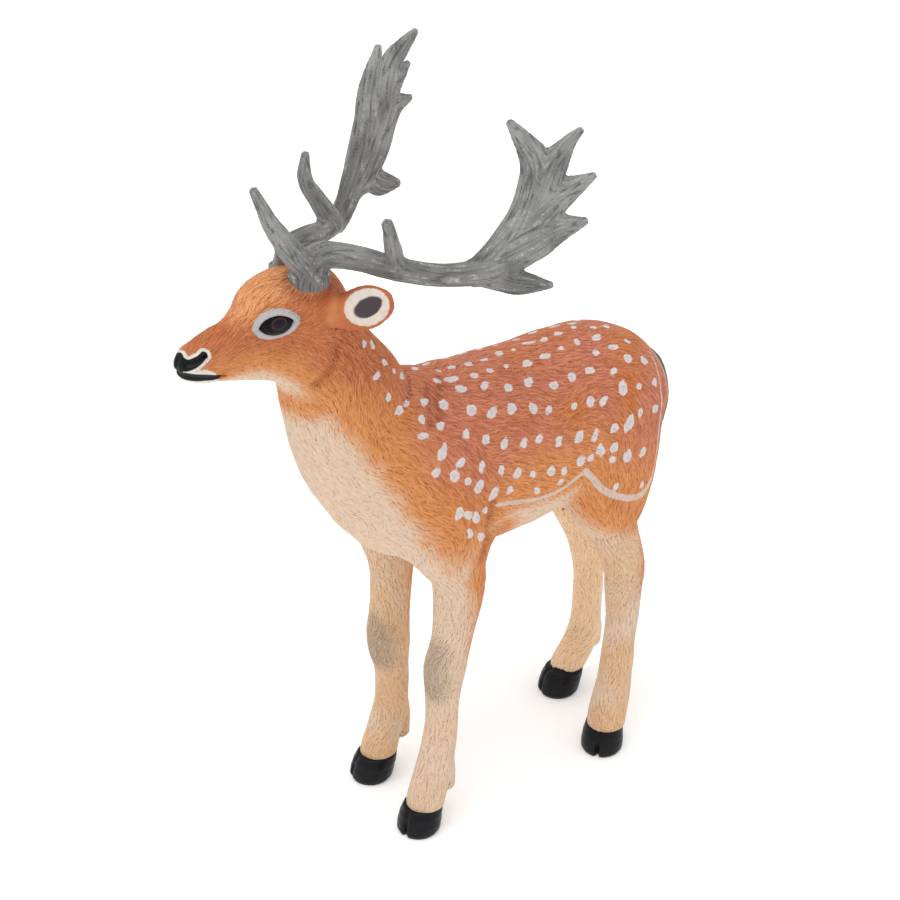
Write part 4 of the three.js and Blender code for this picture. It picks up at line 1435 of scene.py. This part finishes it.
@dataclass
class Hair:
    """Low locks carved over the skin, in one piece for each part of the body."""

    surface: Surface
    markings: Markings
    place: Place
    paint: bpy.types.Material
    count: int = 52000
    length: float = 2.3  # of a lock on the trunk, like its width and rise
    width: float = 0.68
    rise: float = 0.062
    lengths: Row = (0.75, 1.25)  # of single locks over the common length
    widths: Row = (0.8, 1.2)
    flatter: float = 0.62  # share of the rise that is lost on the legs
    sunken: float = 0.6  # depth of a lock's underside over its rise
    finest: float = 0.6  # size of the locks on face and feet over that on the trunk
    slimness: float = 0.45  # share that the finest locks are longer for their width
    sparser: float = 0.45  # share of the locks that the legs go without
    swirl: float = 0.96  # radians that the lie swings to either side
    stray: float = 0.16  # radians that single locks stray from it
    sway: float = 1.6  # how far from a limb the lie of its hair fades
    swing: float = 6.5  # millimetres from one swing to the next
    droop: float = 0.45  # how strongly the coat falls on the flanks
    patch: float = 0.003  # width of a lock on the map

    def build(self, skin: bpy.types.Object) -> list[bpy.types.Object]:
        """Grows the hair on a finished skin.

        Args:
            skin: the skin, which has to be in place.

        Returns:
            The pieces of hair.
        """
        rng = np.random.default_rng(SEED)
        roots, normals = self._roots(skin.data, rng)
        nearest = [limb.nearest(roots) for limb in BODY.limbs()]
        lie = self._lie(roots, normals, nearest, rng)
        pieces = []
        for name, mine in self._parts(roots).items():
            own = [near.only(mine) for near in nearest]
            pieces.append(self._piece(name, roots[mine], normals[mine], lie[mine], own, rng))
        return pieces

    @staticmethod
    def _parts(roots: Array) -> dict[str, Array]:
        """Which roots belong to each piece of hair."""
        x, y, z = roots.T
        head = beyond(roots, HEAD_PLANE)
        neck = ~head & beyond(roots, NECK_PLANE)
        legs = ~head & ~neck & (z < 51)
        trunk = ~head & ~neck & ~legs
        zones = {
            "head": head, "neck": neck, "foreleg": legs & (y < 19), "hind_leg": legs & (y >= 19),
            "rump": trunk & (y > 22), "flank": trunk & (y <= 22),
        }
        sides = {"left": x >= 0, "right": x < 0}
        return {f"hair_{zone}_{side}": zones[zone] & sides[side] for zone in zones for side in sides}

    def _size(self, points: Array) -> Array:
        """Size of the locks over that on the trunk."""
        face = smoothstep(-20, -30, points[:, 1]) * smoothstep(84, 92, points[:, 2])
        feet = smoothstep(52, 26, points[:, 2])
        nose = smoothstep(-38, -44, points[:, 1])
        return 1 - (1 - self.finest) * np.clip(np.maximum(face, 0.6 * feet) + 0.25 * nose, 0, 1.2)

    def _roots(self, mesh: bpy.types.Mesh, rng: np.random.Generator) -> tuple[Array, Array]:
        """Spreads roots evenly over the skin, closer where the locks are small."""
        mesh.calc_loop_triangles()
        corners = np.empty(len(mesh.loop_triangles) * 3, np.int32)
        mesh.loop_triangles.foreach_get("vertices", corners)
        corners = self.place.back(vertex_rows(mesh))[corners.reshape(-1, 3)]
        sides = np.cross(corners[:, 1] - corners[:, 0], corners[:, 2] - corners[:, 0])
        middle = corners.mean(1)
        share = 1 - self.sparser * smoothstep(52, 44, middle[:, 2])
        weight = np.linalg.norm(sides, axis=1) / self._size(middle) ** 2 * (1 - bare(middle)) * share
        total = np.cumsum(weight)
        picks = (np.arange(self.count) + rng.uniform(0, 1, self.count)) * total[-1] / self.count
        found = np.minimum(np.searchsorted(total, picks), len(total) - 1)
        first, second = rng.uniform(0, 1, (2, self.count))
        over = first + second > 1
        first, second = np.where(over, 1 - first, first), np.where(over, 1 - second, second)
        start, across, along = corners[found].transpose(1, 0, 2)
        roots = start + first[:, None] * (across - start) + second[:, None] * (along - start)
        return roots, unit(sides[found])

    def _lie(self, roots: Array, normals: Array, nearest: list[Nearest], rng: np.random.Generator) -> Array:
        """Directions that the locks lie in, along the limbs and swirled a little."""
        weights = [np.exp(-np.clip(near.distance, -1, 20) / self.sway)[:, None] for near in nearest]
        lie = unit(sum(near.tangent * weight for near, weight in zip(nearest, weights)))
        trunk = smoothstep(48, 56, roots[:, 2]) * smoothstep(-24, -14, roots[:, 1])
        lie[:, 2] -= self.droop * trunk
        lie = unit(lie - normals * (lie * normals).sum(1)[:, None])
        turn = self.swirl * perlin(roots, self.swing) + rng.normal(0, self.stray, len(roots))
        side = np.cross(normals, lie)
        return lie * np.cos(turn)[:, None] + side * np.sin(turn)[:, None]

    def _piece(self, name: str, roots: Array, normals: Array, lie: Array, nearest: list[Nearest],
               rng: np.random.Generator) -> bpy.types.Object:
        """Joins the locks on these roots into one painted piece.

        Args:
            name: what the piece is called.
            roots: middles of its locks.
            normals: which way the skin faces there.
            lie: which way the locks point.
            nearest: for each limb, how the roots lie to it.
            rng: where its random numbers come from.

        Returns:
            The piece.
        """
        lock = Lock.carve()
        size = self._size(roots)[:, None]
        count, each = len(roots), len(lock.points)
        slim = 1 + self.slimness * (1 - size) / (1 - self.finest)
        length = self.length / 2 * size * slim * rng.uniform(*self.lengths, (count, 1))
        width = self.width / 2 * size * rng.uniform(*self.widths, (count, 1))
        hand = rng.choice((-1.0, 1.0), (count, 1))  # to which side each is bent
        tint = rng.uniform(0, 1, count)
        across, along, up = lock.points.T
        sideways = np.cross(lie, normals)[:, None] * (width * hand * across)[..., None]
        points = (roots[:, None] + (sideways + lie[:, None] * (length * along)[..., None])).reshape(-1, 3)
        out = np.repeat(normals, each, 0)
        for _ in range(2):
            points -= out * np.clip(BODY.distance(points), -0.6, 1.0)[:, None]
        fields = {
            **self.markings.fields(points),
            "crest": np.tile(lock.crest, count),
            "tint": np.repeat(tint, each),
            "wash_and_burr_shade": self.surface.folds(points),
        }
        uneven = 0.75 + 0.5 * perlin(roots, 9.0, 3.0)
        legs = smoothstep(54, 34, roots[:, 2])
        rise = self.rise * np.sqrt(size) * (uneven * (1 - self.flatter * legs))[:, None]
        lift = (rise * np.where(up > 0, up, self.sunken * up)).ravel() + self.surface.height(points)
        points += out * lift[:, None]
        flipped = np.where(hand[:, :, None] > 0, lock.corners, lock.corners[:, ::-1])
        corners = (flipped + np.arange(count)[:, None, None] * each).reshape(-1, 3)
        mesh = self._mesh(name, points, corners)
        set_fields(mesh, fields)
        patches = self._unwrapped(roots, nearest)[:, None] + self.patch / 2 * np.column_stack([across, along])
        patches = patches.reshape(-1, 2)[corners.ravel()]
        mesh.uv_layers.new(name="OFBake").uv.foreach_set("vector", patches.ravel())
        piece = self.place.finish(mesh, name, self.paint)
        return piece

    @staticmethod
    def _mesh(name: str, points: Array, corners: Array) -> bpy.types.Mesh:
        """A mesh of many copies of the lock."""
        mesh = bpy.data.meshes.new(name)
        mesh.vertices.add(len(points))
        mesh.vertices.foreach_set("co", points.astype(np.float32).ravel())
        mesh.loops.add(corners.size)
        mesh.loops.foreach_set("vertex_index", corners.astype(np.int32).ravel())
        mesh.polygons.add(len(corners))
        mesh.polygons.foreach_set("loop_start", np.arange(0, corners.size, 3, dtype=np.int32))
        mesh.update(calc_edges=True)
        return mesh

    @staticmethod
    def _unwrapped(roots: Array, nearest: list[Nearest]) -> Array:
        """Places on an unwrap of the skin: each limb's own part is rolled out, side by side.

        Args:
            roots: roots of the locks.
            nearest: for each limb, how the roots lie to it.

        Returns:
            Places in the unit square.
        """
        owner = np.argmin([near.distance for near in nearest], 0)
        flat = np.zeros((len(roots), 2))
        charts = []
        for index in np.unique(owner):
            mine = owner == index
            near = nearest[index].only(mine)
            radius = np.hypot(*near.across.T)
            rolled = np.arctan2(near.across[:, 0], near.across[:, 1]) * radius.mean()
            flat[mine] = np.column_stack([rolled, near.along])
            flat[mine] -= flat[mine].min(0)
            charts.append((flat[mine].max(0), mine))
        charts.sort(key=lambda chart: -chart[0][1])
        room = 1.25 * math.sqrt(sum(size[0] * size[1] for size, _ in charts)) + 1
        room = max(room, max(size[0] for size, _ in charts))
        left, low, shelf = 0.0, 0.0, 0.0
        for size, mine in charts:
            if left + size[0] > room:
                left, low, shelf = 0.0, low + shelf + 1, 0.0
            flat[mine] += (left, low)
            left += size[0] + 1
            shelf = max(shelf, size[1])
        return 0.01 + 0.98 * flat / max(room, low + shelf)


# ------------------------------------------------------------------ antlers, hooves and eyes


@dataclass(frozen=True)
class Antler:
    """A palmate antler: round beam and tines, and a flat palm whose fingers end in points."""

    side: str
    beam: Rows
    brow_tine: Rows
    trez_tine: Rows
    facing: Row
    fingers: Sequence[Rows]
    cuts: int = 6
    voxel: float = 0.21
    groove_depth: float = 0.24
    groove_pitch: float = 0.62  # from one groove to the next
    groove_length: float = 7.5
    burr_rise: float = 0.45
    burr_height: float = 1.0  # of its middle above the antler's foot
    burr_width: float = 0.75
    fit: float = 0.06  # that it stays inside its solids

    def mass(self) -> Mass:
        """Its form."""
        tubes = (self.beam, self.brow_tine, self.trez_tine)
        beam, brow, trez = (Limb(rows, cuts=self.cuts, margin=2.5) for rows in tubes)
        palm = [Limb(self._flattened(finger), self.facing, self.cuts, 2.5) for finger in self.fingers]
        return Mass(((beam, 0.1), (brow, 0.8), (trez, 0.8), *((finger, 0.6) for finger in palm)))

    @staticmethod
    def _flattened(finger: Rows) -> Rows:
        """A finger's stations with their flatness: thin where it is wide."""
        return [(*row, float(np.interp(row[3], (0.8, 1.4, 2.1), (0.85, 0.6, 0.45)))) for row in finger]

    def _grooves(self, points: Array, mass: Mass) -> Array:
        """Depth of the grooves that run along the antler, from 0 to 1."""
        best = np.full(len(points), FAR)
        place = np.zeros((len(points), 3))
        for limb in mass.limbs():
            near = limb.nearest(points)
            closer = near.distance < best
            best[closer] = near.distance[closer]
            place[closer] = np.column_stack([near.across, near.along])[closer]
        pitch = (self.groove_pitch, self.groove_pitch, self.groove_length)
        wave = perlin(place / pitch, 1.0)
        fine = perlin(place / pitch * (2.1, 2.1, 1.4), 1.0, 11.0)
        return np.clip(1 - 3.2 * np.abs(wave), 0, 1) * 0.75 + np.clip(1 - 4 * np.abs(fine), 0, 1) * 0.35

    def _burr(self, points: Array) -> Array:
        """1 on the knobbly ring round the antler's foot."""
        foot = np.array(self.beam[0][:3])
        near = np.linalg.norm(points - foot, axis=1) < 5
        return np.exp(-(((points[:, 2] - foot[2] - self.burr_height) / self.burr_width) ** 2)) * near

    def height(self, points: Array, mass: Mass) -> Array:
        """Height of the carved surface above the form."""
        inwards = points - unit(points - points.mean(0)) * 0.6
        # grooves are deeper on faces that look away from the antler's middle
        outer = smoothstep(3.0, 0.0, mass.distance(inwards) + 2)
        knobs = self.burr_rise * self._burr(points) * (0.55 + 0.9 * perlin(points, 1.3))
        return -self.fit + knobs - self.groove_depth * self._grooves(points, mass) * (0.4 + 0.6 * outer)

    def build(self, place: Place, paint: bpy.types.Material) -> bpy.types.Object:
        """Models the antler in one piece.

        Args:
            place: where the midline's frame lies.
            paint: its material.

        Returns:
            The antler.
        """
        mass = self.mass()
        clay = Clay(mass.limbs(), self.voxel)
        clay.settle(mass, 2, 1)
        smooth = clay.carve(mass, lambda points: self.height(points, mass))
        set_fields(clay.mesh, {"groove": self._grooves(smooth, mass), "burr": self._burr(smooth)})
        piece = place.finish(clay.mesh, f"antler_{self.side}_carved", paint)
        parts = ("beam", "brow_tine", "trez_tine", "palm")
        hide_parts(*(f"antler_{self.side}_{part}" for part in parts))
        return piece


ANTLERS = (
    Antler(
        "left",
        beam=((3.3, -27.0, 106.5, 3.15), (3.5, -26.9, 108.4, 2.6), (4.6, -25.2, 110.4, 2.1),
              (7.0, -20.6, 109.4, 1.95), (9.7, -15.6, 107.3, 1.9), (12.5, -10.2, 105.9, 1.8),
              (15.3, -5.7, 106.1, 2.0), (17.0, -2.6, 107.0, 2.1)),
        brow_tine=((3.8, -27.6, 108.7, 2.1), (4.0, -30.5, 112.4, 1.9), (4.4, -33.7, 117.6, 1.4),
                   (4.8, -36.5, 123.6, 0.75)),
        trez_tine=((9.7, -15.8, 107.6, 1.6), (10.5, -17.0, 111.5, 1.35), (11.4, -18.5, 116.0, 0.95)),
        facing=(-0.88, 0.48, -0.05),
        fingers=(
            ((15.3, -5.7, 106.1, 2.1), (17.0, -2.2, 109.7, 2.5), (18.3, 0.8, 114.5, 2.65),
             (18.8, 2.1, 119.4, 2.5), (18.6, 2.35, 123.4, 2.35), (16.8, -0.6, 128.9, 0.8)),
            ((18.5, 1.1, 114.5, 2.4), (19.5, 3.4, 119.0, 2.6), (20.1, 4.8, 122.6, 2.3),
             (20.8, 6.4, 125.3, 1.4), (21.6, 8.1, 127.2, 0.75)),
            ((18.2, 0.3, 112.5, 2.4), (19.7, 3.6, 116.1, 3.0), (21.0, 6.2, 118.1, 2.3),
             (22.9, 9.7, 120.2, 0.75)),
            ((17.3, -1.5, 108.5, 3.3), (19.2, 1.8, 110.8, 3.4), (20.7, 4.8, 112.3, 2.5),
             (22.6, 8.5, 113.2, 0.85)),
            ((15.3, -5.7, 106.1, 2.1), (17.2, -2.2, 104.7, 2.1), (18.8, 0.4, 104.0, 2.0),
             (20.7, 4.0, 103.4, 0.7)),
        ),
    ),
    Antler(
        "right",
        beam=((-3.0, -26.6, 104.9, 2.75), (-3.1, -26.5, 106.4, 2.25), (-4.8, -25.0, 107.8, 2.0),
              (-7.5, -20.6, 107.0, 1.9), (-11.2, -15.4, 105.1, 1.8), (-14.0, -10.7, 104.5, 1.65),
              (-14.9, -8.6, 106.4, 1.7)),
        brow_tine=((-2.9, -26.8, 106.6, 1.7), (-1.9, -28.2, 110.4, 1.3), (-1.0, -30.0, 114.4, 1.0),
                   (-0.4, -31.6, 117.8, 0.6)),
        trez_tine=((-12.4, -12.7, 105.8, 1.9), (-13.2, -14.6, 109.6, 1.5), (-14.1, -16.1, 112.9, 1.3),
                   (-14.3, -15.8, 116.8, 0.75)),
        facing=(0.97, 0.2, 0.12),
        fingers=(
            ((-14.1, -10.1, 103.9, 1.6), (-15.0, -7.8, 107.3, 2.4), (-16.3, -4.9, 112.3, 2.75),
             (-17.4, -2.6, 117.9, 2.65), (-18.2, -1.2, 122.8, 2.4), (-19.6, 1.4, 128.3, 0.75)),
            ((-16.8, -2.9, 113.4, 2.6), (-18.2, 0.7, 118.7, 2.8), (-19.1, 2.4, 122.7, 2.8),
             (-19.9, 4.5, 125.7, 2.2), (-21.2, 9.4, 128.6, 0.75)),
            ((-18.0, -0.2, 117.9, 2.4), (-19.0, 2.8, 121.3, 2.4), (-20.3, 7.3, 124.1, 0.7)),
            ((-16.2, -3.7, 109.9, 2.5), (-17.2, -0.8, 113.1, 2.8), (-18.2, 1.7, 116.9, 2.5),
             (-18.9, 4.3, 118.6, 1.7), (-19.5, 7.1, 118.8, 0.7)),
            ((-15.3, -6.9, 108.1, 1.8), (-16.3, -3.0, 108.8, 2.3), (-16.6, -0.5, 107.2, 2.1),
             (-17.1, 2.7, 106.2, 0.95)),
        ),
    ),
)


@dataclass(frozen=True)
class Hoof:
    """A cloven hoof, cut flat where it stands."""

    leg: str
    # way back from the sole's middle, height and radius
    profile: Rows = (
        (1.1, 6.2, 2.9), (0.8, 4.4, 3.25), (-0.2, 2.2, 3.7), (-0.7, 0.0, 3.75), (-0.7, -3.0, 3.75),
    )
    voxel: float = 0.26
    cleft_width: float = 0.34
    cleft_depth: float = 1.0
    ring_rise: float = 0.022
    fit: float = 0.05  # that it stays inside its solid
    tuck: float = 0.6  # that it draws in under the skin above the coronet
    sole_tuck: float = 0.4  # that it draws in towards the sole
    stump: float = 1.3  # that it reaches above the coronet, inside the skin

    def build(self, place: Place, enamel: bpy.types.Material) -> bpy.types.Object:
        """Models the hoof.

        Args:
            place: where the midline's frame lies.
            enamel: its material.

        Returns:
            The hoof.
        """
        (x, y), turn = SOLES[self.leg], math.radians(TOE_OUT[self.leg])
        turn = math.copysign(turn, x)
        rows = [(x - back * math.sin(turn), y + back * math.cos(turn), z, r) for back, z, r in self.profile]
        horn = Limb(rows, margin=3.0)
        mass = Mass(((horn, 0.1),))
        clay = Clay([horn], self.voxel)
        clay.settle(mass, 2)
        clay.carve(mass, lambda points: self._height(points, x, y, turn))
        clay.cut((0, 0, 0), (0, 0, -1))
        clay.cut((0, y, CORONET[0] + self.stump), (0, CORONET[1], 1))
        piece = place.finish(clay.mesh, f"hoof_{self.leg}_horn", enamel)
        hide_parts(f"hoof_{self.leg}")
        return piece

    def _height(self, points: Array, x: float, y: float, turn: float) -> Array:
        """Height of the horn above its form: the cleft, growth rings and a tucked-in top."""
        right, back, up = points[:, 0] - x, points[:, 1] - y, points[:, 2]
        across = right * math.cos(turn) + back * math.sin(turn)
        front = smoothstep(-1.2, -2.2, back * math.cos(turn) - right * math.sin(turn))
        front *= 0.3 + 0.7 * smoothstep(3.4, 1.6, up)
        cleft = -self.cleft_depth * np.exp(-((across / self.cleft_width) ** 2)) * front
        rings = self.ring_rise * np.sin(up * 4.2 + 1.5 * perlin(points, 3.0))
        coronet = CORONET[0] - CORONET[1] * back
        tuck = -self.tuck * smoothstep(0.0, 0.6, up - coronet)
        sole = -self.sole_tuck * smoothstep(0.8, 0.0, up)
        return cleft + rings + tuck + sole - self.fit


@dataclass(frozen=True)
class Eyeball:
    """A moulded eye between its lids."""

    side: str
    fit: float = 0.98  # its size over that of its solid
    pupil: Row = (0.9, 0.7)  # half-length and half-height
    pupil_shift: tuple[float, float] = (0.35, 0.36)  # that it sits behind and above the middle
    segments: int = 48
    rings: int = 32

    def build(self, place: Place, enamel: bpy.types.Material) -> bpy.types.Object:
        """Models the eye.

        Args:
            place: where the midline's frame lies.
            enamel: its material.

        Returns:
            The eye.
        """
        sign = 1 if self.side == "left" else -1
        axes = EYE.axes() * (sign, 1, 1) * np.array(EYE.size)[:, None]
        seat = Matrix.Translation((EYE.at[0] * sign, *EYE.at[1:])) @ Matrix(axes.T.tolist()).to_4x4()
        mesh = bpy.data.meshes.new(f"eye_{self.side}_ball")
        with edited(mesh) as bm:
            bmesh.ops.create_uvsphere(bm, u_segments=self.segments, v_segments=self.rings, radius=self.fit)
            bmesh.ops.transform(bm, verts=bm.verts, matrix=seat)
            bmesh.ops.recalc_face_normals(bm, faces=bm.faces)
        _, length, height = EYE.plane(vertex_rows(mesh)).T
        back, rise = self.pupil_shift
        half_length, half_height = self.pupil
        edge = (np.hypot((length + back) / half_length, (height - rise) / half_height) - 1) * half_height
        set_fields(mesh, {"pupil_mm": edge})
        piece = place.finish(mesh, f"eye_{self.side}_ball", enamel)
        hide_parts(f"eye_{self.side}")
        return piece


# ------------------------------------------------------------------ studio


@dataclass(frozen=True)
class Studio:
    """White paper, a large soft light and the camera."""

    target: Row = (-0.83, 1.64, 65.97)  # what the camera looks at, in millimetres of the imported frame
    azimuth: float = 54.0  # degrees
    elevation: float = 31.0
    distance: float = 387.1  # millimetres
    lens: float = 96.0
    floor: float = 6.0  # metres across
    light_size: float = 0.7  # metres
    light_power: float = 3.9  # watts
    light_at: Row = (0.1, -0.25, 1.0)  # metres
    aim: Row = (0, 0, 0.06)
    sky: float = 0.8

    def build(self, paper: bpy.types.Material) -> None:
        """Sets up the studio.

        Args:
            paper: material of the floor.
        """
        mesh = bpy.data.meshes.new("floor")
        with edited(mesh) as bm:
            bmesh.ops.create_grid(bm, x_segments=1, y_segments=1, size=self.floor / 2)
        mesh.materials.append(paper)
        floor = added("floor", mesh)
        self._light()
        self._sky()
        self._camera()

    def _light(self) -> None:
        """Adds a square soft light that faces the buck."""
        lamp = bpy.data.lights.new("softbox", "AREA")
        lamp.size = self.light_size
        lamp.energy = self.light_power
        light = added("softbox", lamp)
        light.location = self.light_at
        light.rotation_euler = (Vector(self.aim) - light.location).to_track_quat("-Z", "Y").to_euler()

    def _sky(self) -> None:
        """Adds white light from all around, and shows colours as they are."""
        world = bpy.data.worlds.new("studio")
        world.use_nodes = True
        background = world.node_tree.nodes["Background"]
        background.inputs["Color"].default_value = linear("#ffffff")
        background.inputs["Strength"].default_value = self.sky
        bpy.context.scene.world = world
        bpy.context.scene.view_settings.view_transform = "Standard"

    def _camera(self) -> None:
        """Adds the camera."""
        turn, rise = math.radians(self.azimuth), math.radians(self.elevation)
        back = Vector((math.sin(turn) * math.cos(rise), -math.cos(turn) * math.cos(rise), math.sin(rise)))
        lens = bpy.data.cameras.new("camera")
        lens.lens = self.lens
        lens.clip_start = 0.01
        camera = added("camera", lens)
        camera.location = (Vector(self.target) + back * self.distance) * MM
        camera.rotation_euler = back.to_track_quat("Z", "Y").to_euler()
        bpy.context.scene.camera = camera


def main() -> None:
    """Builds the studio and the buck."""
    logging.basicConfig(level=logging.INFO, format="%(asctime)s %(name)s: %(message)s")
    Studio().build(StudioPaper().build())
    place = Place.found()
    coat, surface, markings = CoatPaint().build(), Surface(), Markings()
    skin = Skin(surface, markings, place, coat).build()
    Hair(surface, markings, place, coat).build(skin)
    horn = HoofEnamel().build()
    for leg in LEGS:
        Hoof(leg).build(place, horn)
    bone = AntlerPaint().build()
    for antler in ANTLERS:
        antler.build(place, bone)
    gloss = EyeEnamel().build()
    for side in ("left", "right"):
        Eyeball(side).build(place, gloss)


if __name__ == "__main__":
    main()
